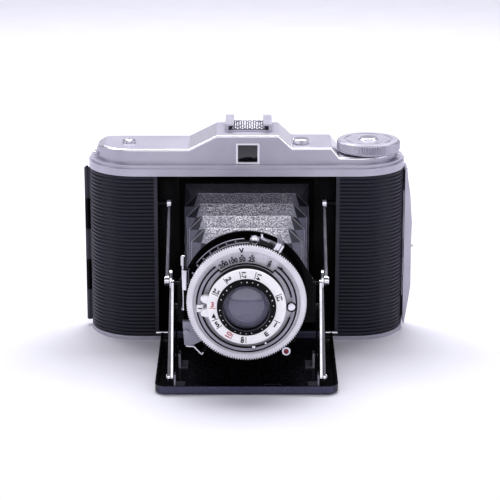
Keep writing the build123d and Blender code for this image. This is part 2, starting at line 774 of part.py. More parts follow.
for index in range(3):
    with BuildPart() as blade:
        level = 77.2 + 0.4 * index
        heading = 90 + 120 * index
        with BuildSketch(Plane.XZ.offset(level)):
            with Locations((0, lens_height)):
                with PolarLocations(blade_pivot, 1, heading):
                    Circle(2.0)
                with PolarLocations(4.6, 1, heading + 4):
                    Circle(5.2)
                with PolarLocations(9.8, 1, heading):
                    Rectangle(9.0, 3.0)
                with PolarLocations(blade_pivot, 1, heading):
                    Circle(0.7, mode=Mode.SUBTRACT)
        extrude(amount=0.2)
    save(blade, f"shutter_blade_{index + 1}")

with BuildPart() as aperture_leaves:
    for index in range(5):
        ring_sector(9.0, 13.2, 72 * index, 66, 72.9, 73.2)
    turned(13.6, 72.2, 72.9, bore=9.0)
save(aperture_leaves, "aperture_leaves")

with BuildPart() as speed_ring:
    turned(ring_radius, ring_back, ring_front, bore=case_radius + 0.1)
    chamfer(speed_ring.edges().filter_by(GeomType.CIRCLE).sort_by(SortBy.RADIUS)[-2:], 0.4)
save(speed_ring, "speed_ring")

with BuildPart() as focus_ring:
    turned(focus_radius, focus_back, focus_front, bore=cell_radius + fit_gap)
    for turn in (170, 190):
        ring_sector(focus_radius - 0.5, 20.4, turn - 6, 12, focus_back + 0.6, focus_front - 1.4)
save(focus_ring, "focus_ring")

with BuildPart() as front_lens_cell:
    turned(cell_radius, 85.0, cell_front, bore=10.0)
save(front_lens_cell, "front_lens_cell")

with BuildPart() as front_lens:
    turned(9.9, 87.2, lens_crown)
    with Locations((0, lens_curve - lens_crown, lens_height)):
        Sphere(lens_curve, mode=Mode.INTERSECT)
save(front_lens, "front_lens")

with BuildPart() as aperture_lever:
    ring_sector(22.7, 34.0, 232.6, 2.2, 73.4, 74.4)
    ring_sector(33.0, 34.0, 225.6, 9.2, 73.4, 74.4)
save(aperture_lever, "aperture_lever")

with BuildPart() as timer_lever:
    ring_sector(22.7, 30.0, -56, 5.4, 76.0, 77.2)
    turned(
        1.9, 76.0, 81.2,
        x=29.2 * math.cos(math.radians(-53.3)), z=lens_height + 29.2 * math.sin(math.radians(-53.3)),
    )
save(timer_lever, "timer_lever")

with BuildPart() as shutter_lever:
    ring_sector(22.7, 27.8, 58, 4.0, 74.8, 76.0)
    ring_sector(25.4, 27.8, 58, 28.0, 74.8, 76.0)
    turned(
        1.3, 76.0, 78.2,
        x=26.6 * math.cos(math.radians(82.5)), z=lens_height + 26.6 * math.sin(math.radians(82.5)),
    )
save(shutter_lever, "shutter_lever")

with BuildPart() as cable_socket:
    post(-26.6, -74.4, 1.9, 42.5, 51.5)
    block(-25.4, -20.0, -75.2, -73.6, 44.0, 47.0)
    turned(flange_radius, 72, 77, mode=Mode.SUBTRACT)
    post(-26.6, -74.4, 1.2, 45.5, 52.0, mode=Mode.SUBTRACT)
save(cable_socket, "cable_socket")

with BuildPart() as sync_socket:
    with BuildSketch(Plane.XZ.offset(74.8)):
        with BuildLine():
            Polyline(*sync_outline, close=True)
        make_face()
        with Locations((0, lens_height)):
            Circle(flange_radius + fit_gap, mode=Mode.SUBTRACT)
    extrude(amount=3.2)
    turned(1.3, 78.0, 79.2, x=-26.6, z=lens_height - 15.5)
save(sync_socket, "sync_socket")

with BuildPart() as release_rod:
    post(-27.9, -71.5, 0.6, 32.0, 52.5)
    post(-27.9, -71.5, 1.05, 52.5, 57.2)
    fillet(release_rod.edges().filter_by(GeomType.CIRCLE).sort_by(Axis.Z)[-1:], 0.8)
    post(-27.9, -71.5, 0.95, 32.0, 33.2)
save(release_rod, "release_rod")
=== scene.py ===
import json
import math
import random

import bmesh
import bpy
from mathutils import Matrix, Vector

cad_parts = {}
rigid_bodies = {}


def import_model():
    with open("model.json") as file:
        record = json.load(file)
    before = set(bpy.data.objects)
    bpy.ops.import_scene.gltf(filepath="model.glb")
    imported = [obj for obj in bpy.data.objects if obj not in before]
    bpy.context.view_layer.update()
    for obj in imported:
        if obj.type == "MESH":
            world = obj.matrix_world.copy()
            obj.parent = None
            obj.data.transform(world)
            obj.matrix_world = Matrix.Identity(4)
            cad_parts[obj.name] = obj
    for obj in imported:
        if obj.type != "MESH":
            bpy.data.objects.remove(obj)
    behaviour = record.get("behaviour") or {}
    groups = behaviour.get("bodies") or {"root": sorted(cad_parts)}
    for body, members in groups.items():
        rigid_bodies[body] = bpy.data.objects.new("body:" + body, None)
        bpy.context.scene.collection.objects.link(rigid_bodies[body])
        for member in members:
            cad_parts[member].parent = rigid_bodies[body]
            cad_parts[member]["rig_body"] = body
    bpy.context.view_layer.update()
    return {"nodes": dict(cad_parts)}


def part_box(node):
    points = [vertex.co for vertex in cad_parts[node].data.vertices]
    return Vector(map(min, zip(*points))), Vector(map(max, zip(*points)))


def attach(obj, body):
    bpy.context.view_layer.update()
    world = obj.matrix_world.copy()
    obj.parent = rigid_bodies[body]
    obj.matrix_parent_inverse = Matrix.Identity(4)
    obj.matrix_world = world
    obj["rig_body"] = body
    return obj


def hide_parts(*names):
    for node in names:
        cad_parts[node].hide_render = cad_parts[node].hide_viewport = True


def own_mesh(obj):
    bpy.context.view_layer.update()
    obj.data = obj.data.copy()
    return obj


# Folding viewfinder camera, door open, built round the CAD nodes of its pack. Metres; the frame has +Z up
# and the lens looks along -Y. "Ahead" is a distance in front of the origin, which is -Y. Angles on the dial
# are in degrees, anticlockwise seen from the front, from the dial's right.

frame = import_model()
nodes = frame["nodes"]
rng = random.Random(7)
MM = 0.001
AHEAD = Vector((0, -1, 0))
RIGHT = Vector((1, 0, 0))
UP = Vector((0, 0, 1))
BOX_FACES = [(0, 1, 2, 3), (4, 5, 6, 7), (0, 1, 5, 4), (1, 2, 6, 5), (2, 3, 7, 6), (3, 0, 4, 7)]
BOX_CORNERS = ((-1, -1), (1, -1), (1, 1), (-1, 1))


def centre(node):
    low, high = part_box(node)
    return (low + high) / 2


AXIS_Z = centre("speed_ring").z
CASE_FRONT = -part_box("shutter_case")[0].y
RING_BACK = -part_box("speed_ring")[1].y
RING_FRONT = -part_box("speed_ring")[0].y
RING_RADIUS = (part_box("speed_ring")[1].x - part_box("speed_ring")[0].x) / 2

# ---------------------------------------------------------------- shaders


def new_material(name):
    made = bpy.data.materials.new(name)
    made.use_nodes = True
    return made, made.node_tree, made.node_tree.nodes["Principled BSDF"]


def put(tree, kind, settings=None, **values):
    """Adds a shader node; a value is a number, a colour or another node's output."""
    node = tree.nodes.new(kind)
    for key, value in (settings or {}).items():
        setattr(node, key, value)
    for key, value in values.items():
        socket = node.inputs[int(key[1:])] if key[0] == "i" and key[1:].isdigit() else node.inputs[key]
        if isinstance(value, bpy.types.NodeSocket):
            tree.links.new(value, socket)
        else:
            socket.default_value = value
    return node


def place(tree):
    """Object coordinates, which every piece shares because no node is moved."""
    return put(tree, "ShaderNodeTexCoord").outputs["Object"]


def noise(tree, where, scale, detail=2.0, rough=0.5):
    made = put(tree, "ShaderNodeTexNoise", Vector=where, Scale=scale, Detail=detail, Roughness=rough)
    return made.outputs["Fac"]


def ramp(tree, factor, *stops):
    """Colour ramp; a stop is (position, grey) or (position, (r, g, b))."""
    node = put(tree, "ShaderNodeValToRGB", Fac=factor)
    bar = node.color_ramp.elements
    while len(bar) < len(stops):
        bar.new(0.5)
    for mark, (position, tone) in zip(bar, stops):
        mark.position = position
        mark.color = (tone, tone, tone, 1) if isinstance(tone, (int, float)) else (*tone, 1)
    return node.outputs["Color"]


def sums(tree, operation, first, second):
    return put(tree, "ShaderNodeMath", {"operation": operation}, i0=first, i1=second).outputs[0]


def blend_colour(tree, factor, first, second):
    node = put(tree, "ShaderNodeMix", {"data_type": "RGBA"}, i0=factor)
    for index, value in ((6, first), (7, second)):
        if isinstance(value, bpy.types.NodeSocket):
            tree.links.new(value, node.inputs[index])
        else:
            node.inputs[index].default_value = (*value, 1)
    return node.outputs[2]


def edges(tree, radius, low, high):
    """1 on worn edges and 0 on flats, from how far a bevelled normal leans from the true one."""
    bevel = put(tree, "ShaderNodeBevel", {"samples": 4}, Radius=radius)
    true = put(tree, "ShaderNodeNewGeometry")
    lean = put(
        tree, "ShaderNodeVectorMath", {"operation": "DOT_PRODUCT"},
        i0=bevel.outputs[0], i1=true.outputs["Normal"],
    )
    return ramp(tree, lean.outputs["Value"], (low, 1.0), (high, 0.0))


def relief(tree, shader, height, distance, strength=1.0):
    bump = put(tree, "ShaderNodeBump", Height=height, Distance=distance, Strength=strength)
    tree.links.new(bump.outputs[0], shader.inputs["Normal"])


def finish(name, low, high, patch, metal, rough, grain, depth, wear=None, specular=0.5):
    """A plain surface: two close tones in patches, uneven roughness and fine grain.

    patch and grain are noise scales, rough is the lowest and highest roughness, depth is the grain's height in
    mm, and wear is the colour of worn edges and their width in mm.
    """
    made, tree, shader = new_material(name)
    where = place(tree)
    tone = ramp(tree, noise(tree, where, patch, 4.0), (0.32, low), (0.68, high))
    sheen = put(
        tree, "ShaderNodeMapRange", Value=noise(tree, where, patch * 2.3, 3.0),
        i1=0.3, i2=0.7, i3=rough[0], i4=rough[1],
    ).outputs[0]
    if wear:
        mask = edges(tree, wear[1] * MM, 0.90, 0.985)
        tone = blend_colour(tree, mask, tone, wear[0])
    tree.links.new(tone, shader.inputs["Base Color"])
    tree.links.new(sheen, shader.inputs["Roughness"])
    shader.inputs["Metallic"].default_value = metal
    shader.inputs["Specular IOR Level"].default_value = specular
    relief(tree, shader, noise(tree, where, grain, 3.0, 0.6), depth * MM)
    return made


satin = finish("satin_alloy", (0.47, 0.455, 0.53), (0.54, 0.525, 0.60), 60, 0.85, (0.36, 0.44), 5200, 0.012)
bright = finish("polished_alloy", (0.74, 0.73, 0.78), (0.86, 0.85, 0.90), 90, 1.0, (0.14, 0.24), 3000, 0.004)
chrome = finish("chrome", (0.60, 0.60, 0.65), (0.76, 0.76, 0.80), 140, 1.0, (0.14, 0.24), 1800, 0.002)
dial_silver = finish(
    "dial_silver", (0.72, 0.71, 0.77), (0.80, 0.79, 0.85), 120, 0.25, (0.40, 0.50), 6000, 0.008,
)
dial_grey = finish("dial_grey", (0.30, 0.29, 0.34), (0.36, 0.35, 0.41), 120, 0.5, (0.40, 0.50), 6000, 0.006)
enamel = finish(
    "black_enamel", (0.0010, 0.0010, 0.0018), (0.0025, 0.0025, 0.004), 50, 0.0, (0.14, 0.26), 900, 0.006,
    wear=((0.16, 0.16, 0.19), 0.12), specular=0.12,
)
matt = finish(
    "matt_black", (0.002, 0.002, 0.003), (0.006, 0.006, 0.008), 80, 0.0, (0.6, 0.8), 2600, 0.02, specular=0.12,
)
ink = finish(
    "black_paint", (0.003, 0.003, 0.004), (0.008, 0.008, 0.010), 300, 0.0, (0.45, 0.6), 4000, 0.004, specular=0.2,
)
ruby = finish("ruby_paint", (0.17, 0.010, 0.030), (0.24, 0.018, 0.045), 300, 0.0, (0.25, 0.4), 2000, 0.004)
red_ink = finish("red_paint", (0.42, 0.10, 0.12), (0.54, 0.15, 0.17), 300, 0.0, (0.45, 0.6), 4000, 0.004)
trim = finish("grey_trim", (0.020, 0.020, 0.032), (0.040, 0.040, 0.058), 70, 0.0, (0.40, 0.55), 2200, 0.012)
slate = finish("slate_steel", (0.30, 0.30, 0.37), (0.40, 0.40, 0.48), 120, 0.2, (0.36, 0.5), 2600, 0.01)
steel = finish("grey_steel", (0.13, 0.13, 0.16), (0.20, 0.20, 0.24), 90, 0.8, (0.34, 0.5), 2600, 0.01)
white = finish("white_enamel", (0.88, 0.87, 0.90), (0.94, 0.93, 0.96), 150, 0.0, (0.34, 0.48), 3200, 0.006)
brass = finish("brass", (0.48, 0.34, 0.13), (0.62, 0.46, 0.20), 120, 1.0, (0.26, 0.4), 2600, 0.008)


def polished_cover():
    """Top housing: satin grain, with its rounded upper edge polished bright."""
    made, tree, shader = new_material("cover_alloy")
    where = place(tree)
    body = ramp(tree, noise(tree, where, 45, 4.0), (0.3, (0.46, 0.445, 0.52)), (0.7, (0.53, 0.515, 0.59)))
    facing = put(tree, "ShaderNodeSeparateXYZ", Vector=put(tree, "ShaderNodeTexCoord").outputs["Normal"])
    tilt = facing.outputs["Z"]
    edge = ramp(tree, tilt, (0.10, 0.0), (0.22, 1.0), (0.86, 1.0), (0.97, 0.0))
    front = ramp(tree, facing.outputs["Y"], (0.0, 1.0), (0.02, 0.0))
    mask = sums(tree, "MULTIPLY", edge, front)
    tree.links.new(blend_colour(tree, mask, body, (0.92, 0.91, 0.96)), shader.inputs["Base Color"])
    sheen = put(tree, "ShaderNodeMapRange", Value=mask, i3=0.40, i4=0.16).outputs[0]
    tree.links.new(sheen, shader.inputs["Roughness"])
    shader.inputs["Metallic"].default_value = 0.85
    relief(tree, shader, noise(tree, where, 5200, 3.0, 0.65), 0.014 * MM)
    return made


def two_tone(name, first, second, low, high, facing=False):
    """Two finishes on one casting: the second takes over as Y, or the normal's Y, goes from low to high.

    A finish is its dark tone, its light tone, its lowest roughness and how metallic it is.
    """
    made, tree, shader = new_material(name)
    where = place(tree)
    source = put(tree, "ShaderNodeTexCoord").outputs["Normal"] if facing else where
    along = put(tree, "ShaderNodeSeparateXYZ", Vector=source).outputs["Y"]
    mask = put(tree, "ShaderNodeMapRange", Value=along, i1=low, i2=high, i3=0.0, i4=1.0).outputs[0]
    grain = noise(tree, where, 900, 4.0)
    tones, roughs, metals = [], [], []
    for dark, light, rough, metal in (first, second):
        tones.append(ramp(tree, grain, (0.35, dark), (0.65, light)))
        sheen = put(tree, "ShaderNodeMapRange", Value=grain, i1=0.3, i2=0.7, i3=rough, i4=rough + 0.1)
        roughs.append(sheen.outputs[0])
        metals.append(metal)
    tree.links.new(blend_colour(tree, mask, *tones), shader.inputs["Base Color"])
    for socket, values in (("Roughness", roughs), ("Metallic", metals)):
        node = put(tree, "ShaderNodeMix", i0=mask)
        for index, value in ((2, values[0]), (3, values[1])):
            if isinstance(value, bpy.types.NodeSocket):
                tree.links.new(value, node.inputs[index])
            else:
                node.inputs[index].default_value = value
        tree.links.new(node.outputs[0], shader.inputs[socket])
    shader.inputs["Specular IOR Level"].default_value = 0.35
    relief(tree, shader, noise(tree, where, 4000, 3.0), 0.008 * MM)
    return made


def leather_finish():
    """Dark blue-black leatherette with pebbles, a fine grain and a few specks of dust."""
    made, tree, shader = new_material("ribbed_leatherette")
    where = place(tree)
    pebble = put(tree, "ShaderNodeTexVoronoi", {"feature": "SMOOTH_F1"}, Vector=where, Scale=2600.0)
    fine = noise(tree, where, 5200, 2.0)
    dust = ramp(tree, noise(tree, where, 900, 6.0, 0.7), (0.68, 0.0), (0.80, 1.0))
    patches = noise(tree, where, 55, 3.0)
    base = ramp(tree, patches, (0.3, (0.0040, 0.0040, 0.014)), (0.7, (0.0065, 0.0065, 0.021)))
    tree.links.new(blend_colour(tree, dust, base, (0.07, 0.07, 0.09)), shader.inputs["Base Color"])
    sheen = put(tree, "ShaderNodeMapRange", Value=fine, i1=0.3, i2=0.7, i3=0.34, i4=0.50).outputs[0]
    tree.links.new(sheen, shader.inputs["Roughness"])
    shader.inputs["Specular IOR Level"].default_value = 0.45
    height = sums(tree, "ADD", pebble.outputs["Distance"], sums(tree, "MULTIPLY", fine, 0.5))
    relief(tree, shader, height, 0.05 * MM)
    return made


def bellows_finish():
    """Coated cloth: bluish grey, with pale grains painted on its top-facing panels as a painted highlight where
    the overhead light falls, painted highlight lines on its crests and painted shade on its corner folds.

    The mesh says where: one point attribute holds how much painted light the grains get, "ridge" marks the crest
    lines and "pleat" the corner folds that get the painted shade.
    """
    made, tree, shader = new_material("bellows_cloth")
    where = place(tree)
    facing = put(tree, "ShaderNodeSeparateXYZ", Vector=put(tree, "ShaderNodeTexCoord").outputs["Normal"])
    # painted highlight: pale grains on the top-facing panels where the overhead light falls, scaled by the
    # painted-light share the mesh holds
    top = ramp(tree, facing.outputs["Z"], (0.35, 0.0), (0.75, 1.0))
    rubbed = put(tree, "ShaderNodeAttribute", {"attribute_name": "rubbed"}).outputs["Fac"]
    top = sums(tree, "MULTIPLY", top, rubbed)
    grains = noise(tree, where, 1500, 3.0, 0.7)
    shade = put(tree, "ShaderNodeAttribute", {"attribute_name": "pleat"}).outputs["Fac"]
    ridge = put(tree, "ShaderNodeAttribute", {"attribute_name": "ridge"}).outputs["Fac"]
    patches = ramp(tree, noise(tree, where, 130, 3.0), (0.34, 0.45), (0.62, 1.0))
    # grain tones from dark to pale; the pale end is the painted highlight
    worn = ramp(
        tree, grains, (0.40, (0.035, 0.034, 0.050)), (0.50, (0.26, 0.255, 0.30)), (0.59, (0.95, 0.94, 0.98)),
    )
    weave = noise(tree, where, 900, 4.0)
    plain = ramp(tree, weave, (0.3, (0.105, 0.105, 0.140)), (0.7, (0.165, 0.165, 0.215)))
    face = blend_colour(tree, sums(tree, "MULTIPLY", top, patches), plain, worn)
    # painted shade: the corner folds the mesh marks are painted near-black
    face = blend_colour(tree, shade, face, (0.012, 0.012, 0.020))
    # painted highlight: a pale line along each crest
    line = ramp(tree, ridge, (0.84, 0.0), (0.97, 0.60))
    tree.links.new(blend_colour(tree, line, face, (0.66, 0.65, 0.72)), shader.inputs["Base Color"])
    shader.inputs["Roughness"].default_value = 0.55
    shader.inputs["Specular IOR Level"].default_value = 0.4
    relief(tree, shader, grains, 0.10 * MM)
    return made


def glass_finish(name, tint, alpha, rough=0.04):
    """Coated glass with a faint haze; alpha is 1 where nothing shows through."""
    made, tree, shader = new_material(name)
    where = place(tree)
    tone = ramp(tree, noise(tree, where, 180, 2.0), (0.3, tint), (0.7, tuple(0.8 * part for part in tint)))
    tree.links.new(tone, shader.inputs["Base Color"])
    haze = put(
        tree, "ShaderNodeMapRange", Value=noise(tree, where, 700, 3.0), i1=0.3, i2=0.8, i3=rough, i4=rough * 2.5,
    )
    tree.links.new(haze.outputs[0], shader.inputs["Roughness"])
    shader.inputs["Alpha"].default_value = alpha
    shader.inputs["Specular IOR Level"].default_value = 0.9
    shader.inputs["Coat Weight"].default_value = 1.0
    shader.inputs["Coat Roughness"].default_value = 0.02
    made.surface_render_method = "BLENDED"
    return made


cover_alloy = polished_cover()
leatherette = leather_finish()
cloth = bellows_finish()
lens_glass = glass_finish("lens_glass", (0.27, 0.265, 0.38), 0.50)
CASE_SIDE = ((0.003, 0.003, 0.005), (0.008, 0.008, 0.012), 0.35, 0.0)
CASE_FACE = ((0.62, 0.61, 0.68), (0.70, 0.69, 0.76), 0.40, 0.35)
case_alloy = two_tone("case_alloy", CASE_SIDE, CASE_FACE, -79 * MM, -80 * MM)
# painted light: the door panel's forward-facing faces get a lighter blue-grey for the front lamp's light on them;
# the other faces keep the black
DOOR_LIP_PAINTED_LIGHT = ((0.052, 0.053, 0.100), (0.070, 0.071, 0.125), 0.34, 0.0)
DOOR_INSIDE = ((0.0012, 0.0012, 0.0022), (0.0035, 0.0035, 0.006), 0.22, 0.0)
door_black = two_tone("door_black", DOOR_LIP_PAINTED_LIGHT, DOOR_INSIDE, -0.9, -0.5, facing=True)
finder_glass = glass_finish("finder_glass", (0.006, 0.006, 0.012), 0.80, 0.02)
red_glass = glass_finish("red_glass", (0.30, 0.008, 0.010), 0.85)

# ---------------------------------------------------------------- finishes of the CAD nodes that stay

dressed = {
    enamel: "body_casting standard_plate black_links back_cover door_catch",
    door_black: "door_panel",
    satin: "base_plate top_rim accessory_shoe latch_plate",
    cover_alloy: "top_cover",
    trim: "opening_trim back_hinge",
    leatherette: "door_covering",
    bright: "knob_cap finder_frame release_button",
    chrome: "cover_screws film_roller_left film_roller_right winding_key window_slide latch_knob"
    " door_hinge_pin standard_struts lower_braces upper_braces release_rod timer_lever"
    " shutter_lever cable_socket",
    brass: "tripod_bush pressure_springs",
    matt: "finder_tube bellows_frame take_up_spool pressure_plate rear_lens_cell aperture_leaves front_lens_cell",
    slate: "sync_socket",
    steel: "shoe_spring door_brackets shutter_blade_1 shutter_blade_2 shutter_blade_3",
    case_alloy: "shutter_case",
    lens_glass: "rear_lens front_lens",
    red_glass: "red_window",
}
for made, names in dressed.items():
    for name in names.split():
        for held in nodes[name].material_slots:
            held.material = made

# ---------------------------------------------------------------- mesh helpers


def piece(name, body, verts, faces, made, slot_name, replaced=(), marks=(), sharp=35):
    """A mesh that rides on a body; the faces in marks get the second material."""
    mesh = bpy.data.meshes.new(name)
    mesh.from_pydata([tuple(v) for v in verts], [], faces)
    for each in made if isinstance(made, (list, tuple)) else (made,):
        mesh.materials.append(each)
    for index in marks:
        mesh.polygons[index].material_index = 1
    mesh.validate()
    mesh.update()
    obj = bpy.data.objects.new(name, mesh)
    bpy.context.scene.collection.objects.link(obj)
    outward(obj)
    smooth(obj, sharp)
    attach(obj, body)
    if replaced:
        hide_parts(*replaced)
    return obj


def outward(obj):
    """Joins points that coincide and turns every face outwards."""
    work = bmesh.new()
    work.from_mesh(obj.data)
    bmesh.ops.remove_doubles(work, verts=work.verts, dist=1e-7)
    bmesh.ops.recalc_face_normals(work, faces=work.faces)
    work.to_mesh(obj.data)
    work.free()


def smooth(obj, sharp):
    for face in obj.data.polygons:
        face.use_smooth = True
    obj.data.set_sharp_from_angle(angle=math.radians(sharp))


def ahead_point(radius, angle, ahead, x=0.0, z=None):
    """Point at a radius and angle, anticlockwise seen from the front, round an axis along Y."""
    z = AXIS_Z if z is None else z
    return Vector((x + radius * math.cos(angle), -ahead, z + radius * math.sin(angle)))


def up_point(radius, angle, height, x=0.0, y=0.0):
    return Vector((x + radius * math.cos(angle), y + radius * math.sin(angle), height))


def ring_mesh(profile, steps, spot, start=0.0, sweep=360.0, tooth=(0.0,)):
    """A closed profile of (radius, height, bite) swept round an axis.

    tooth repeats step by step and scales the bite, from 0 to 1.
    """
    whole = sweep >= 360.0
    count = steps if whole else steps + 1
    verts, faces = [], []
    for step in range(count):
        angle = math.radians(start + sweep * step / steps)
        bite = tooth[step % len(tooth)]
        for radius, height, cut in profile:
            verts.append(spot(radius - cut * bite, angle, height))
    size = len(profile)
    for step in range(steps):
        this, after = step * size, ((step + 1) % count) * size
        for index in range(size):
            nxt = (index + 1) % size
            faces.append((this + index, this + nxt, after + nxt, after + index))
    if not whole:
        faces.append(tuple(range(size)))
        faces.append(tuple(range((count - 1) * size, count * size)))
    return verts, faces


SLAB_TOP = 0.86  # a slab's top against its foot
DOME_RINGS = 7


class Heap:
    """Gathers small shapes into one mesh."""

    def __init__(self):
        self.verts, self.faces = [], []

    def add(self, verts, faces):
        base = len(self.verts)
        self.verts += list(verts)
        self.faces += [tuple(base + index for index in face) for face in faces]

    def sector(self, inner, outer, back, front, start, sweep, steps):
        """Part of a flat ring round the lens axis."""
        outline = [(inner, back, 0), (outer, back, 0), (outer, front, 0), (inner, front, 0)]
        self.add(*ring_mesh(outline, steps, ahead_point, start, sweep))

    def slab(self, middle, along, across, outwards, length, width, low, high):
        """A box with a slightly smaller top, lying on a surface."""
        verts = []
        for level, shrink in ((low, 1.0), (high, SLAB_TOP)):
            for a, b in BOX_CORNERS:
                side_by = along * (a * length / 2 * shrink) + across * (b * width / 2 * shrink)
                verts.append(middle + side_by + outwards * level)
        self.add(verts, BOX_FACES)

    def bar(self, first, second, width, low, high, spare):
        """A thin bar from point to point, facing forward, longer than the gap by spare."""
        along = (second - first).normalized()
        length = (second - first).length + spare
        self.slab((first + second) / 2, along, along.cross(AHEAD), AHEAD, length, width, low, high)

    def dome(self, middle, outwards, radius, height, steps=20, slot_turn=None):
        """A low domed head, with a screwdriver slot if slot_turn is an angle, in radians."""
        side = outwards.orthogonal().normalized()
        other = outwards.cross(side)
        rings = DOME_RINGS
        verts, faces = [], []
        for ring in range(rings + 1):
            share = ring / rings
            for step in range(steps):
                angle = 2 * math.pi * step / steps
                flat = side * math.cos(angle) * radius * share + other * math.sin(angle) * radius * share
                rise = height * (0.45 + 0.55 * math.sqrt(max(0.0, 1 - share ** 2))) if ring < rings else 0.0
                if ring == rings - 1:
                    flat = flat / share * 0.97
                    rise = height * 0.5
                if slot_turn is not None and ring < rings:
                    off = math.sin(angle - slot_turn) * radius * share
                    if abs(off) < 0.18 * radius:
                        rise -= height * 0.4
                verts.append(middle + flat + outwards * rise)
        for ring in range(rings):
            this, after = ring * steps, (ring + 1) * steps
            for step in range(steps):
                nxt = (step + 1) % steps
                faces.append((this + step, this + nxt, after + nxt, after + step))
        faces.append(tuple(rings * steps + step for step in range(steps)))
        self.add(verts, faces)

    def text(self, words, size, matrix, thick, bold=0.02):
        """Plain figures, thick across the face they stand in; bold widens their strokes."""
        curve = bpy.data.curves.new("mark", "FONT")
        curve.body = words
        curve.size = size
        curve.extrude = thick / 2
        curve.offset = size * bold
        curve.align_x = "CENTER"
        curve.align_y = "CENTER"
        curve.resolution_u = 3
        holder = bpy.data.objects.new("mark", curve)
        bpy.context.scene.collection.objects.link(holder)
        bpy.context.view_layer.update()
        mesh = bpy.data.meshes.new_from_object(holder.evaluated_get(bpy.context.evaluated_depsgraph_get()))
        self.add([matrix @ v.co for v in mesh.vertices], [tuple(p.vertices) for p in mesh.polygons])
        bpy.data.objects.remove(holder)
        bpy.data.curves.remove(curve)
        bpy.data.meshes.remove(mesh)


def dial_axes(angle):
    """Directions along a radius of the dial and across it."""
    run = Vector((math.cos(angle), 0, math.sin(angle)))
    return run, Vector((-run.z, 0, run.x))


def on_dial(radius, angle, ahead, turn):
    """Frame for text on a face that looks forward: turn is the direction its line runs, in degrees."""
    spot = ahead_point(radius, math.radians(angle), ahead)
    run, rise = dial_axes(math.radians(turn))
    return Matrix.Translation(spot) @ Matrix((run, rise, AHEAD)).transposed().to_4x4()


# ---------------------------------------------------------------- ribbed leatherette

RIB_PITCH = 1.75 * MM
RIB_DEPTH = 0.42 * MM
RIB_LEVELS = 8
SKIN = 0.8 * MM
FRONT_CORNER = Vector((51 * MM, 4 * MM, 0))
FRONT_RADIUS = 23 * MM
REAR_RADIUS = 13 * MM


def arc_path(middle, radius, start, end, steps):
    """Points and outward directions along an arc of the body's plan."""
    path = []
    for step in range(steps + 1):
        angle = math.radians(start + (end - start) * step / steps)
        out = Vector((math.cos(angle), math.sin(angle), 0))
        path.append((middle + out * radius, out))
    return path


def ribbed(name, path, z0, z1, replaced):
    """A closed skin along a path, its outer face pressed into level ribs."""
    levels = round((z1 - z0) / RIB_PITCH) * RIB_LEVELS
    verts, faces = [], []
    for level in range(levels + 1):
        phase = (level % RIB_LEVELS) / RIB_LEVELS
        depth = RIB_DEPTH * (1 - abs(math.sin(math.pi * phase)) ** 0.6)
        z = z0 + (z1 - z0) * level / levels
        for spot, out in path:
            verts.append(Vector((spot.x, spot.y, z)) - out * depth)
        for spot, out in reversed(path):
            verts.append(Vector((spot.x, spot.y, z)) - out * SKIN * 0.98)
    size = 2 * len(path)
    for level in range(levels):
        base = level * size
        for index in range(size):
            nxt = (index + 1) % size
            faces.append((base + index, base + nxt, base + size + nxt, base + size + index))
    faces.append(tuple(range(size)))
    faces.append(tuple(range(levels * size, (levels + 1) * size)))
    return piece(name, body_of(replaced), verts, faces, leatherette, "leatherette", (replaced,), sharp=50)


def body_of(node):
    return nodes[node]["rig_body"]


def mirrored(path, side=-1):
    return [(Vector((side * spot.x, spot.y, 0)), Vector((side * out.x, out.y, 0))) for spot, out in path]


for side, name in ((-1, "leather_front_left"), (1, "leather_front_right")):
    low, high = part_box(name)
    inner_x, outer_x = (low.x, high.x) if side > 0 else (-high.x, -low.x)
    path = [(Vector((inner_x + (FRONT_CORNER.x - inner_x) * step / 4, low.y, 0)), AHEAD) for step in range(4)]
    path += arc_path(FRONT_CORNER, FRONT_RADIUS, -90, 0, 22)
    path.append((Vector((outer_x, high.y, 0)), RIGHT))
    ribbed(name.replace("leather", "ribbed"), mirrored(path, side), low.z, high.z, name)

low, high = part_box("leather_back")
rear_corner = Vector((high.x - REAR_RADIUS, high.y - REAR_RADIUS, 0))
path = [(Vector((high.x, low.y, 0)), RIGHT)] if low.y < rear_corner.y else []
start_angle = math.degrees(math.asin(max(-1.0, (low.y - rear_corner.y) / REAR_RADIUS)))
path += arc_path(rear_corner, REAR_RADIUS, start_angle, 90, 14)
for step in range(1, 9):
    path.append((Vector((rear_corner.x - rear_corner.x * step / 8, high.y, 0)), -AHEAD))
path += mirrored(reversed(path[:-1]))
back_skin = ribbed("ribbed_back", path, low.z, high.z, "leather_back")


def cut(obj, verts, faces):
    """Takes a closed shape out of a piece."""
    mesh = bpy.data.meshes.new("cutter")
    mesh.from_pydata([tuple(v) for v in verts], [], faces)
    cutter = bpy.data.objects.new("cutter", mesh)
    bpy.context.scene.collection.objects.link(cutter)
    outward(cutter)
    step = obj.modifiers.new("cut", "BOOLEAN")
    step.operation = "DIFFERENCE"
    step.solver = "EXACT"
    step.object = cutter
    bpy.context.view_layer.update()
    made = bpy.data.meshes.new_from_object(obj.evaluated_get(bpy.context.evaluated_depsgraph_get()))
    obj.modifiers.clear()
    obj.data = made
    bpy.data.objects.remove(cutter)
    smooth(obj, 50)


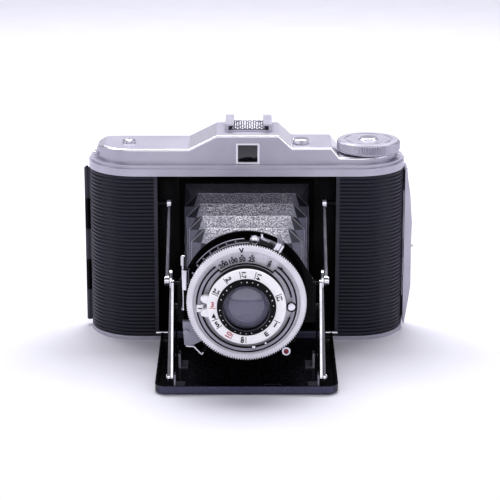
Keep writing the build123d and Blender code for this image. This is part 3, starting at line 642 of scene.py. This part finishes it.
# the skin is cut out for the red window and for the four feet of its slide's guides
window = centre("red_window")
HOLE_RADIUS = 7.0 * MM
HOLE_STEPS = 48
FOOT_X = (-7.95 * MM, 19.0 * MM)
FOOT_Z = (-7.0 * MM, 7.0 * MM)
FOOT_HALF_X, FOOT_HALF_Z = 1.1 * MM, 0.65 * MM
disc = [
    ahead_point(HOLE_RADIUS, 2 * math.pi * step / HOLE_STEPS, ahead, window.x, window.z)
    for ahead in (-16 * MM, -23 * MM) for step in range(HOLE_STEPS)
]
disc_faces = [tuple(range(HOLE_STEPS)), tuple(range(HOLE_STEPS, 2 * HOLE_STEPS))]
for step in range(HOLE_STEPS):
    nxt = (step + 1) % HOLE_STEPS
    disc_faces.append((step, nxt, HOLE_STEPS + nxt, HOLE_STEPS + step))
cut(back_skin, disc, disc_faces)
for foot_x in FOOT_X:
    for foot_z in FOOT_Z:
        corners = [
            Vector((window.x + foot_x + a * FOOT_HALF_X, y, window.z + foot_z + b * FOOT_HALF_Z))
            for y in (17 * MM, 22 * MM) for a, b in BOX_CORNERS
        ]
        cut(back_skin, corners, BOX_FACES)

# ---------------------------------------------------------------- bellows

bellows_low, bellows_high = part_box("bellows")
REAR_AHEAD = -bellows_high.y
FRONT_AHEAD = -bellows_low.y
REAR_HALF = (bellows_high.x - bellows_low.x) / 2
FRONT_HALF = 22.0 * MM
CRESTS = [7.6, 21.5, 37.0, 52.2]  # mm ahead
VALLEYS = [0.4, 14.4, 29.2, 44.6, 60.0]
CREST_OUT, VALLEY_OUT = 1.2, -2.7  # mm beyond the plain cone
CREST_CHAMFER, FRONT_CHAMFER = 6.4, 8.0
SAG = 0.35 * MM
CLOTH_THICK = 0.45 * MM


def bellows_half(ahead):
    """Half the side of the plain cone."""
    return REAR_HALF + (FRONT_HALF - REAR_HALF) * (ahead - REAR_AHEAD) / (FRONT_AHEAD - REAR_AHEAD)


def bellows_ring(ahead, half, chamfer, steps=14):
    """One fold line, as the same number of points on every ring, from corner to corner."""
    points = []
    for quarter in range(4):
        turn = Matrix.Rotation(math.radians(90 * quarter), 3, "Y")
        for step in range(steps + 1):
            share = step / steps
            x = -(half - chamfer) + 2 * (half - chamfer) * share
            sag = SAG * (rng.random() - 0.5) if 0 < step < steps else 0.0
            points.append(turn @ Vector((x, 0, half + sag)) + Vector((0, -ahead, AXIS_Z)))
    return points


def build_bellows():
    """Pleated cloth: fold lines joined by panels, with an inner layer at the cloth's thickness."""
    lines = [(REAR_AHEAD, bellows_half(REAR_AHEAD) - 0.2 * MM, 0.0)]
    folds = [(f, CREST_OUT, CREST_CHAMFER) for f in CRESTS] + [(f, VALLEY_OUT, 0.0) for f in VALLEYS]
    for ahead, out, chamfer in sorted(folds):
        lines.append((ahead * MM, bellows_half(ahead * MM) + out * MM, chamfer * MM))
    lines.append((FRONT_AHEAD, bellows_half(FRONT_AHEAD) - 0.5 * MM, FRONT_CHAMFER * MM))
    rows = []
    for index, (ahead, half, chamfer) in enumerate(lines):
        if index:
            before = lines[index - 1]
            for share in (0.33, 0.67):
                rows.append([
                    a + (b - a) * share for a, b in zip(bellows_ring(*before), bellows_ring(ahead, half, chamfer))
                ])
        rows.append(bellows_ring(ahead, half, chamfer))
    size = len(rows[0])
    faces = []
    for row in range(len(rows) - 1):
        this, after = row * size, (row + 1) * size
        for index in range(size):
            nxt = (index + 1) % size
            faces.append((this + index, this + nxt, after + nxt, after + index))
    verts = [point for row in rows for point in row]
    inside = len(verts)
    for point in list(verts):
        flat = Vector((point.x, 0, point.z - AXIS_Z))
        verts.append(Vector((0, point.y, AXIS_Z)) + flat * (1 - CLOTH_THICK / flat.length))
    faces += [tuple(reversed([inside + index for index in face])) for face in faces[:]]
    last = (len(rows) - 1) * size
    for index in range(size):
        nxt = (index + 1) % size
        faces.append((index, nxt, inside + nxt, inside + index))
        faces.append((last + index, last + nxt, inside + last + nxt, inside + last + index))
    return verts, faces


folded = piece("bellows_folded", "camera_body", *build_bellows(), cloth, "bellows_cloth", ("bellows",), sharp=18)
for name, domain in (("rubbed", "POINT"), ("ridge", "POINT"), ("pleat", "FACE")):
    folded.data.attributes.new(name, "FLOAT", domain)
rubbed, ridge, pleat = (folded.data.attributes[name] for name in ("rubbed", "ridge", "pleat"))
for index, vert in enumerate(folded.data.vertices):
    f = -vert.co.y / MM
    behind = [crest for crest in CRESTS if crest <= f + 0.2]
    fade = max(0.0, 1 - (f - behind[-1]) / 11.0) if behind else 0.25  # painted light: brightest just ahead of a crest, fading towards the next one
    shaded = 0.55 if f < CRESTS[1] - 0.3 else 1.0  # painted shade: less painted light on the panels nearest the body, under the top housing
    inset = max(0.0, min(1.0, (bellows_half(-vert.co.y) - 3.6 * MM - abs(vert.co.x)) / (2.2 * MM)))
    rubbed.data[index].value = fade * shaded * inset
    ridge.data[index].value = 1.0 if any(abs(f - crest) < 0.05 for crest in CRESTS) else 0.0
# painted shade: corner folds that face forward get the near-black tone
for face in folded.data.polygons:
    corner_fold = min(abs(face.normal.x), abs(face.normal.z)) > 0.25
    pleat.data[face.index].value = 0.9 if corner_fold and face.normal.y < 0 else 0.0
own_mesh(folded)

# ---------------------------------------------------------------- knurled knob and opener button

KNOB_TEETH, OPENER_TEETH = 74, 30
ROUND_TOOTH = (0.0, 0.7, 1.0, 0.3)
KNOB_CUT, OPENER_CUT = 0.62, 0.35


def turned(middle, profile, teeth):
    """A knurled knob on a vertical axis; the profile is radius in mm, height in metres and depth of cut in mm."""
    def spot(radius, angle, height):
        return up_point(radius, angle, height, middle.x, middle.y)

    scaled = [(radius * MM, height, bite * MM) for radius, height, bite in profile]
    return ring_mesh(scaled, teeth * len(ROUND_TOOTH), spot, tooth=ROUND_TOOTH)


low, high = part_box("advance_knob")
outer = (high.x - low.x) / 2 / MM
foot, top = low.z, high.z
knob_profile = [
    (3.0, foot, 0), (13.9, foot, 0), (14.25, foot + 0.25 * MM, 0), (14.25, foot + 0.75 * MM, 0),
    (outer, foot + 0.95 * MM, KNOB_CUT), (outer, top - 1.15 * MM, KNOB_CUT), (14.4, top - 0.75 * MM, 0),
    (14.35, top - 0.45 * MM, 0), (13.9, top - 0.05 * MM, 0), (13.5, top, 0), (11.15, top, 0),
    (10.95, top - 0.35 * MM, 0), (10.35, top - 0.35 * MM, 0), (10.15, top, 0), (4.9, top, 0),
    (4.5, top - 0.3 * MM, 0), (4.3, top - 1.0 * MM, 0), (3.0, top - 1.0 * MM, 0),
]
knurled = turned(centre("knob_cap"), knob_profile, KNOB_TEETH)
piece("knob_knurled", body_of("advance_knob"), *knurled, satin, "satin_alloy", ("advance_knob",), sharp=28)

low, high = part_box("opener_button")
foot, top = high.z - 4.1 * MM, high.z
opener_profile = [
    (0.02, low.z, 0), (1.5, low.z, 0), (1.5, foot, 0), (3.5, foot, 0), (3.5, foot + 1.8 * MM, 0),
    (3.7, foot + 2.0 * MM, OPENER_CUT), (3.7, top - 0.75 * MM, OPENER_CUT), (3.35, top - 0.2 * MM, 0),
    (2.9, top - 0.02 * MM, 0), (1.6, top, 0), (0.02, top, 0),
]
milled = turned(centre("opener_button"), opener_profile, OPENER_TEETH)
piece("opener_milled", body_of("opener_button"), *milled, bright, "chrome", ("opener_button",), sharp=28)

# ---------------------------------------------------------------- shutter dial

RING_TEETH = 150
SQUARE_TOOTH = (0.0, 0.0, 1.0, 1.0)
RING_CUT = 0.65 * MM
ring_profile = [
    (23.1 * MM, RING_BACK, 0), (RING_RADIUS - 1.2 * MM, RING_BACK, 0),
    (RING_RADIUS - 1.1 * MM, RING_FRONT - 1.7 * MM, 0), (RING_RADIUS, RING_FRONT - 1.55 * MM, RING_CUT),
    (RING_RADIUS, RING_FRONT - 0.15 * MM, RING_CUT), (RING_RADIUS - 0.9 * MM, RING_FRONT, 0),
    (23.55 * MM, RING_FRONT, 0), (23.3 * MM, RING_FRONT - 0.3 * MM, 0), (23.1 * MM, RING_FRONT - 0.3 * MM, 0),
]


def bands(profile, steps, chosen):
    """Faces of a swept profile that lie on the chosen edges of it."""
    return [index for index in range(steps * len(profile)) if index % len(profile) in chosen]


ring_steps = RING_TEETH * len(SQUARE_TOOTH)
serrated = ring_mesh(ring_profile, ring_steps, ahead_point, tooth=SQUARE_TOOTH)
piece(
    "speed_ring_serrated", "speed_ring", *serrated, (dial_silver, matt), "satin_alloy", ("speed_ring",),
    marks=bands(ring_profile, ring_steps, (0, 1, 2)), sharp=30,
)

SPEEDS = (("200", 119.2), ("100", 106.7), ("50", 95.2), ("25", 83.6), ("B", 61.4))
SPEED_DOTS = (118.2, 106.7, 95.2, 83.6, 61.4)
SPEED_SET = math.radians(95.2)
index_mark = Heap()
for lean in (-1, 1):
    foot = ahead_point(23.15 * MM, SPEED_SET, RING_FRONT)
    tip = ahead_point(25.15 * MM, SPEED_SET + math.radians(lean * 1.9), RING_FRONT)
    index_mark.bar(foot, tip, 0.55 * MM, 0.0, 0.03 * MM, 0.0)
piece("speed_index", "speed_ring", index_mark.verts, index_mark.faces, ink, "matt_black")

black_marks, grey_marks, bright_marks, white_marks = Heap(), Heap(), Heap(), Heap()


def arc(heap, inner, outer, start, end, high=0.05):
    """A line printed on the dial's face, between two radii in mm and two angles."""
    steps = max(6, int((end - start) / 3))
    heap.sector(inner * MM, outer * MM, CASE_FRONT, CASE_FRONT + high * MM, start, end - start, steps)


def boss(heap, spot, inner, outer, low, high, steps=36):
    """A flat washer round a point, facing forward, in mm."""
    profile = [(r * MM, h * MM, 0) for r, h in ((inner, low), (outer, low), (outer, high), (inner, high))]
    heap.add(*ring_mesh(profile, steps, lambda r, a, h: spot + Vector((r * math.cos(a), -h, r * math.sin(a)))))


def on_case(radius, angle):
    return ahead_point(radius * MM, math.radians(angle), CASE_FRONT)


for inner, outer, start, end in (
    (21.35, 22.05, 128, 411.5), (19.3, 20.1, 128, 174), (19.3, 20.1, 193, 343), (19.3, 20.1, 369, 411),
    (18.05, 18.75, 52, 128), (18.05, 20.1, 126.6, 128), (18.05, 20.1, 51, 52.4),
):
    arc(black_marks, inner, outer, start, end)
arc(grey_marks, 20.12, 21.33, 129, 410, 0.16)
for angle in SPEED_DOTS:
    black_marks.dome(on_case(22.05, angle), AHEAD, 0.42 * MM, 0.05 * MM, 12)
for words, angle in SPEEDS:
    black_marks.text(words, 2.8 * MM, on_dial(20.35 * MM, angle, CASE_FRONT, angle - 90), 0.16 * MM, 0.03)
tab = on_case(20.35, 185.2)
white_marks.slab(tab, RIGHT, UP, AHEAD, 3.1 * MM, 3.5 * MM, 0.0, 0.22 * MM)
black_marks.slab(tab, RIGHT, UP, AHEAD, 1.9 * MM, 0.5 * MM, 0.2 * MM, 0.26 * MM)
large_screw, small_screw = on_case(19.55, -3.5), on_case(20.0, -81)
boss(black_marks, large_screw, 1.75, 2.25, 0.0, 0.26)
bright_marks.dome(large_screw, AHEAD, 1.72 * MM, 0.28 * MM, 28, slot_turn=0.9)
boss(black_marks, small_screw, 0.82, 1.02, 0.0, 0.2, 24)
bright_marks.dome(small_screw, AHEAD, 0.8 * MM, 0.26 * MM, 20, slot_turn=0.4)
bright_marks.dome(on_case(19.7, -65), AHEAD, 0.45 * MM, 0.16 * MM, 14)
black_marks.dome(on_case(21.9, 47), AHEAD, 0.75 * MM, 0.16 * MM, 16, slot_turn=0.2)
piece("dial_black_marks", "standard", black_marks.verts, black_marks.faces, ink, "matt_black")
piece("dial_raised_track", "standard", grey_marks.verts, grey_marks.faces, dial_grey, "satin_alloy")
piece("dial_screws", "standard", bright_marks.verts, bright_marks.faces, bright, "chrome")
piece("dial_white_tab", "standard", white_marks.verts, white_marks.faces, white, "white_enamel")

# ---------------------------------------------------------------- focusing ring and lens

focus_low, focus_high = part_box("focus_ring")
focus_back, focus_front = -focus_high.y, -focus_low.y
TURNED_STEPS = 144
focus_profile = [
    (12.85 * MM, focus_back, 0), (17.0 * MM, focus_back, 0), (17.2 * MM, focus_back + 0.2 * MM, 0),
    (17.2 * MM, focus_front - 1.1 * MM, 0), (16.95 * MM, focus_front - 0.55 * MM, 0),
    (16.6 * MM, focus_front - 0.35 * MM, 0), (13.1 * MM, focus_front, 0), (12.85 * MM, focus_front - 0.1 * MM, 0),
]
GRIP_ANGLES, GRIP_SWEEP = (170, 190), 12.4
GRIP_FOOT, GRIP_HEIGHT, GRIP_BEVEL = 16.9 * MM, 3.3 * MM, 0.45 * MM
GRIP_BACK, GRIP_FRONT = CASE_FRONT + 0.45 * MM, focus_front - 1.5 * MM
GRIP_STEPS = 16
focus_body = Heap()
focus_body.add(*ring_mesh(focus_profile, TURNED_STEPS, ahead_point))
for middle in GRIP_ANGLES:
    outline = []
    for step in range(GRIP_STEPS + 1):
        share = step / GRIP_STEPS
        swell = math.sin(math.pi * share) ** 0.55
        outline.append((GRIP_FOOT + GRIP_HEIGHT * swell, math.radians(middle + GRIP_SWEEP * (share - 0.5))))
    rim = [ahead_point(r, a, level) for level in (GRIP_BACK, GRIP_FRONT) for r, a in outline]
    rim += [ahead_point(max(r - GRIP_BEVEL, GRIP_FOOT), a, GRIP_FRONT + 0.35 * MM) for r, a in outline]
    row = GRIP_STEPS + 1
    sides = [
        (base + s, base + s + 1, base + row + s + 1, base + row + s)
        for base in (0, row) for s in range(GRIP_STEPS)
    ]
    under = (0, row, 2 * row, 3 * row - 1, 2 * row - 1, row - 1)
    focus_body.add(rim, sides + [tuple(range(row)), tuple(range(2 * row, 3 * row)), under])
piece(
    "focus_ring_enamelled", "focus_ring", focus_body.verts, focus_body.faces, (white, ink), "white_enamel",
    ("focus_ring",), marks=bands(focus_profile, TURNED_STEPS, (0, 1, 2)), sharp=30,
)

SCALE_RADIUS = 14.85 * MM
SCALE_SLOPE = 0.1
FIGURE_DEEP = 0.46 * MM  # deep enough to stand proud of the sloping face along a whole figure
scale_front = focus_front - 0.175 * MM
black_scale, red_scale = Heap(), Heap()
DISTANCES = (  # angle, metres, 1 if red
    (127.7, "2", 0), (100.6, "1.7", 0), (75, "1.4", 0), (21.7, "1.2", 0), (-26, "1", 0), (-91.0, "∞", 0),
    (-115.6, "10", 1), (-142.7, "5", 0), (-157.5, "4", 0), (-178.5, "3", 1), (157.3, "2.5", 0),
)
FIGURE_TURN = math.degrees(1.5 / 14.9)  # from a tick to its figure
for angle, words, red in DISTANCES:
    heap = red_scale if red else black_scale
    run, across = dial_axes(math.radians(angle))
    tilt = (run - AHEAD * SCALE_SLOPE).normalized()
    spot = ahead_point(SCALE_RADIUS, math.radians(angle), scale_front)
    heap.slab(spot, tilt, across, AHEAD, 3.2 * MM, 0.30 * MM, -0.02 * MM, 0.03 * MM)
    size = 3.3 * MM if len(words) < 3 else 2.5 * MM
    upright = on_dial(SCALE_RADIUS, angle - FIGURE_TURN, scale_front, angle - FIGURE_TURN + 180)
    heap.text(words, size, upright, FIGURE_DEEP)
black_scale.text("m", 3.0 * MM, on_dial(SCALE_RADIUS, -55.5, scale_front, -55.5 + 180), FIGURE_DEEP)
piece("distance_figures", "focus_ring", black_scale.verts, black_scale.faces, ink, "matt_black")
piece("distance_figures_red", "focus_ring", red_scale.verts, red_scale.faces, red_ink, "white_enamel")

cell_low, cell_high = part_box("front_lens_cell")
cell_back, cell_front = -cell_high.y, -cell_low.y
CONE_OUTER, CONE_INNER = 12.5 * MM, 11.0 * MM
cone_foot, cone_top = focus_front + 0.45 * MM, cell_front - 0.9 * MM
cell_profile = [
    (10.0 * MM, cell_back, 0), (12.75 * MM, cell_back, 0), (12.75 * MM, focus_front + 0.2 * MM, 0),
    (CONE_OUTER, cone_foot, 0), (CONE_INNER, cone_top, 0), (10.85 * MM, cell_front - 0.15 * MM, 0),
    (10.6 * MM, cell_front, 0), (10.3 * MM, cell_front, 0), (10.1 * MM, cell_front - 0.2 * MM, 0),
    (10.0 * MM, cell_front - 0.6 * MM, 0),
]
cell_mesh = ring_mesh(cell_profile, TURNED_STEPS, ahead_point)
piece(
    "front_cell_turned", "focus_ring", *cell_mesh, (ink, steel), "matt_black", ("front_lens_cell",),
    marks=bands(cell_profile, TURNED_STEPS, (7, 8)), sharp=30,
)
TICK_SHARE = 0.5  # how far up the cone the ticks stand
cell_dots = Heap()
for step in range(30):
    if step % 10 in (4, 9):
        continue
    angle = math.radians(12 * step + 5)
    run, across = dial_axes(angle)
    cone = (run - AHEAD * 0.75).normalized()
    out = across.cross(cone).normalized()
    out = out if out.y < 0 else -out
    radius = CONE_OUTER + (CONE_INNER - CONE_OUTER) * TICK_SHARE
    spot = ahead_point(radius, angle, cone_foot + (cone_top - cone_foot) * TICK_SHARE)
    length = 0.9 * MM if step % 2 else 0.45 * MM
    cell_dots.slab(spot, cone, across, out, length, 0.42 * MM, -0.03 * MM, 0.035 * MM)
piece("front_cell_ticks", "focus_ring", cell_dots.verts, cell_dots.faces, white, "white_enamel")

# ---------------------------------------------------------------- shutter rim, levers and rivets

RIM_LOW, RIM_HIGH = 76.5 * MM, 77.2 * MM
APERTURE_MARKS = (100, 109, 118, 127, 136, 145, 154)
scale = Heap()
scale.sector(26.75 * MM, 27.1 * MM, RIM_LOW, RIM_HIGH, 92, 52, 40)
scale.sector(24.75 * MM, 25.15 * MM, RIM_LOW, RIM_HIGH, 84, 84, 50)
for angle in APERTURE_MARKS:
    scale.sector(25.5 * MM, 26.4 * MM, RIM_LOW, RIM_HIGH, angle, 1.3, 2)
piece("aperture_scale", "standard", scale.verts, scale.faces, slate, "chrome")


def beside_axis(x, z):
    """A point in the plane of the origin, in mm from the lens axis."""
    return Vector((x * MM, 0, AXIS_Z + z * MM))


ARM_LOW, ARM_HIGH = 73.4 * MM, 74.4 * MM
WIRE_POINTS = ((-26.8, -23.3), (-23.4, -23.5), (-20.0, -27.2), (-19.3, -26.3))
arm, wire = Heap(), Heap()
arm.sector(22.8 * MM, 32.6 * MM, ARM_LOW, ARM_HIGH, 232.0, 2.2, 3)
for first, second in zip(WIRE_POINTS, WIRE_POINTS[1:]):
    wire.bar(beside_axis(*first), beside_axis(*second), 0.75 * MM, ARM_LOW + 0.1 * MM, ARM_HIGH, 0.5 * MM)
piece("aperture_arm", "aperture_lever", arm.verts, arm.faces, enamel, "black_enamel", ("aperture_lever",))
piece("aperture_wire", "aperture_lever", wire.verts, wire.faces, chrome, "chrome")

# the shutter lever's grooved tip, its arm and the post with a ring on it
TIP_TURN = math.radians(60)
TIP_BARS = ((-1.25, 1.1, 82.2), (0.0, 1.4, 81.2), (1.25, 1.1, 82.2))  # across, width, front, in mm
TIP_BACK, TIP_LENGTH = 75.6 * MM, 4.2 * MM
ARM_RUNS = (((6.7, 28.6), (6.9, 26.8)), ((6.9, 27.0), (10.0, 25.3)))
lever = Heap()
run, across = dial_axes(TIP_TURN)
for offset, width, front in TIP_BARS:
    spot = ahead_point(27.9 * MM, TIP_TURN, 0.0) + across * offset * MM
    lever.slab(spot, run, across, AHEAD, TIP_LENGTH, width * MM, TIP_BACK, front * MM)
for first, second in ARM_RUNS:
    lever.bar(beside_axis(*first), beside_axis(*second), 1.0 * MM, 75.7 * MM, 77.4 * MM, 0.4 * MM)
post = ahead_point(26.6 * MM, math.radians(82.5), 0.0)
lever.dome(post + AHEAD * 78.1 * MM, AHEAD, 1.45 * MM, 0.5 * MM, 28)
boss(lever, post, 1.6, 2.15, 76.9, 78.5, 32)
boss(lever, post, 0.05, 1.7, 76.9, 78.0, 32)
piece("lever_fittings", "shutter_lever", lever.verts, lever.faces, bright, "chrome")

timer = Heap()
tip = ahead_point(29.2 * MM, math.radians(-53.3), -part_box("timer_lever")[0].y)
timer.dome(tip, AHEAD, 1.15 * MM, 0.35 * MM, 22)
piece("timer_red_dot", "timer_lever", timer.verts, timer.faces, ruby, "red_glass")

KNEE_INSET = 2.2 * MM
rod_low, rod_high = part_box("upper_braces")
bracket_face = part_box("door_brackets")[1].x
knees, brackets = Heap(), Heap()
for side in (-1, 1):
    knee = Vector((side * rod_high.x, rod_low.y + KNEE_INSET, rod_low.z + KNEE_INSET))
    knees.dome(knee, RIGHT * side, 1.7 * MM, 0.5 * MM, 24)
    brackets.dome(Vector((side * bracket_face, -88.5 * MM, 6.6 * MM)), RIGHT * side, 1.2 * MM, 0.35 * MM, 20)
piece("rivets_upper_braces", "upper_braces", knees.verts, knees.faces, chrome, "chrome")
piece("rivets_front_door", "front_door", brackets.verts, brackets.faces, chrome, "chrome")

# ---------------------------------------------------------------- finder window and shoe knurl

PANE_WIDTH, PANE_HEIGHT, PANE_BULGE = 9.0 * MM, 8.1 * MM, 0.4125 * MM
PANE_COLS, PANE_ROWS = 14, 12
EYE_Z = 89.4 * MM
finder = centre("finder_frame")
pane_y, eye_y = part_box("finder_lenses")[0].y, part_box("finder_lenses")[1].y
pane = []
for depth, bulge in ((0.1 * MM, PANE_BULGE), (1.0 * MM, 0.0)):
    for row in range(PANE_ROWS + 1):
        for col in range(PANE_COLS + 1):
            a, b = 2 * col / PANE_COLS - 1, 2 * row / PANE_ROWS - 1
            y = pane_y + depth - bulge * (1 - 0.5 * (a * a + b * b))
            pane.append(Vector((finder.x + a * PANE_WIDTH / 2, y, finder.z + b * PANE_HEIGHT / 2)))
stride = PANE_COLS + 1
layer = stride * (PANE_ROWS + 1)
pane_faces = []
for base in (0, layer):
    for row in range(PANE_ROWS):
        for col in range(PANE_COLS):
            k = base + row * stride + col
            pane_faces.append((k, k + 1, k + 1 + stride, k + stride))
border = list(range(stride)) + [row * stride + PANE_COLS for row in range(1, PANE_ROWS + 1)]
border += [PANE_ROWS * stride + col for col in range(PANE_COLS - 1, -1, -1)]
border += [row * stride for row in range(PANE_ROWS - 1, 0, -1)]
for index, k in enumerate(border):
    nxt = border[(index + 1) % len(border)]
    pane_faces.append((k, nxt, layer + nxt, layer + k))
glass = Heap()
glass.add(pane, pane_faces)
eye_profile = [
    (0.02 * MM, 1.2 * MM - eye_y, 0), (3.4 * MM, 1.2 * MM - eye_y, 0), (3.4 * MM, 0.35 * MM - eye_y, 0),
    (2.2 * MM, 0.1 * MM - eye_y, 0), (0.02 * MM, -eye_y, 0),
]
glass.add(*ring_mesh(eye_profile, 40, lambda r, a, h: ahead_point(r, a, h, finder.x, EYE_Z)))
piece(
    "finder_glass", "camera_body", glass.verts, glass.faces, finder_glass, "glass", ("finder_lenses",), sharp=30,
)

DOT_COLS, DOT_ROWS, DOT_EDGE = 14, 11, 0.8
spring_low, spring_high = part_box("shoe_spring")
knurl = Heap()
for row in range(DOT_ROWS):
    for col in range(row % 2, DOT_COLS, 2):
        spot = Vector((
            spring_low.x + (col + DOT_EDGE) / (DOT_COLS + 0.6) * (spring_high.x - spring_low.x),
            spring_low.y + (row + DOT_EDGE) / (DOT_ROWS + 0.6) * (spring_high.y - spring_low.y), spring_high.z,
        ))
        knurl.dome(spot, UP, 0.42 * MM, 0.18 * MM, 8)
piece("shoe_spring_dots", "camera_body", knurl.verts, knurl.faces, bright, "chrome")

# ---------------------------------------------------------------- floor, light and camera

FLOOR_REACH = 5.0
FLOOR_BACK, SWEEP_RADIUS, SWEEP_STEPS, BACKDROP_TOP = 0.9, 0.6, 12, 2.4


def sweep_floor():
    """White floor that curves up into a backdrop far behind the object."""
    profile = [(-FLOOR_REACH, 0.0), (FLOOR_BACK, 0.0)]
    for step in range(1, SWEEP_STEPS + 1):
        angle = math.radians(90 * step / SWEEP_STEPS)
        profile.append((FLOOR_BACK + SWEEP_RADIUS * math.sin(angle), SWEEP_RADIUS * (1 - math.cos(angle))))
    profile.append((FLOOR_BACK + SWEEP_RADIUS, BACKDROP_TOP))
    verts = [(x, y, z) for y, z in profile for x in (-FLOOR_REACH, FLOOR_REACH)]
    faces = [(2 * k, 2 * k + 1, 2 * k + 3, 2 * k + 2) for k in range(len(profile) - 1)]
    mesh = bpy.data.meshes.new("floor")
    mesh.from_pydata(verts, [], faces)
    obj = bpy.data.objects.new("floor", mesh)
    bpy.context.scene.collection.objects.link(obj)
    made, tree, shader = new_material("paper")
    where = place(tree)
    tone = ramp(tree, noise(tree, where, 30, 2.0), (0.3, (0.70, 0.70, 0.76)), (0.7, (0.72, 0.72, 0.78)))
    tree.links.new(tone, shader.inputs["Base Color"])
    shader.inputs["Roughness"].default_value = 0.6
    shader.inputs["Specular IOR Level"].default_value = 0.2
    mesh.materials.append(made)
    for face in mesh.polygons:
        face.use_smooth = True


sweep_floor()


def softbox(name, spot, target, width, height, power):
    lamp = bpy.data.lights.new(name, "AREA")
    lamp.shape = "RECTANGLE"
    lamp.size = width
    lamp.size_y = height
    lamp.energy = power
    lamp.color = (1.0, 0.985, 1.0)
    obj = bpy.data.objects.new(name, lamp)
    obj.location = spot
    obj.rotation_euler = (Vector(target) - Vector(spot)).to_track_quat("-Z", "Y").to_euler()
    bpy.context.scene.collection.objects.link(obj)


softbox("overhead", (0.0, 0.48, 0.95), (0.0, 0.02, 0.0), 1.3, 0.6, 15.0)
softbox("front_box", (0.0, -1.4, 0.60), (0.0, 0.0, 0.04), 2.4, 1.0, 8.8)
softbox("left_box", (-1.0, -0.25, 0.55), (0.0, 0.0, 0.05), 0.6, 0.7, 2.6)
softbox("right_box", (1.0, -0.25, 0.55), (0.0, 0.0, 0.05), 0.6, 0.7, 2.6)

world = bpy.data.worlds.new("studio")
bpy.context.scene.world = world
world.use_nodes = True
backlight = world.node_tree.nodes["Background"]
backlight.inputs["Color"].default_value = (0.90, 0.90, 1.0, 1.0)
backlight.inputs["Strength"].default_value = 0.20

SENSOR = 36.0
FOCAL_PIXELS = 2113.7
FRAME_PIXELS = 500
CAMERA_DOWN = 16.335  # degrees
lens = bpy.data.cameras.new("camera")
lens.sensor_width = SENSOR
lens.lens = FOCAL_PIXELS / FRAME_PIXELS * SENSOR
camera = bpy.data.objects.new("camera", lens)
camera.location = (0.0015, -0.9613, 0.3203)
camera.rotation_euler = (math.radians(90 - CAMERA_DOWN), 0.0, 0.0)
bpy.context.scene.collection.objects.link(camera)
bpy.context.scene.camera = camera
bpy.context.scene.view_settings.view_transform = "Standard"
bpy.context.scene.view_settings.look = "Medium High Contrast"
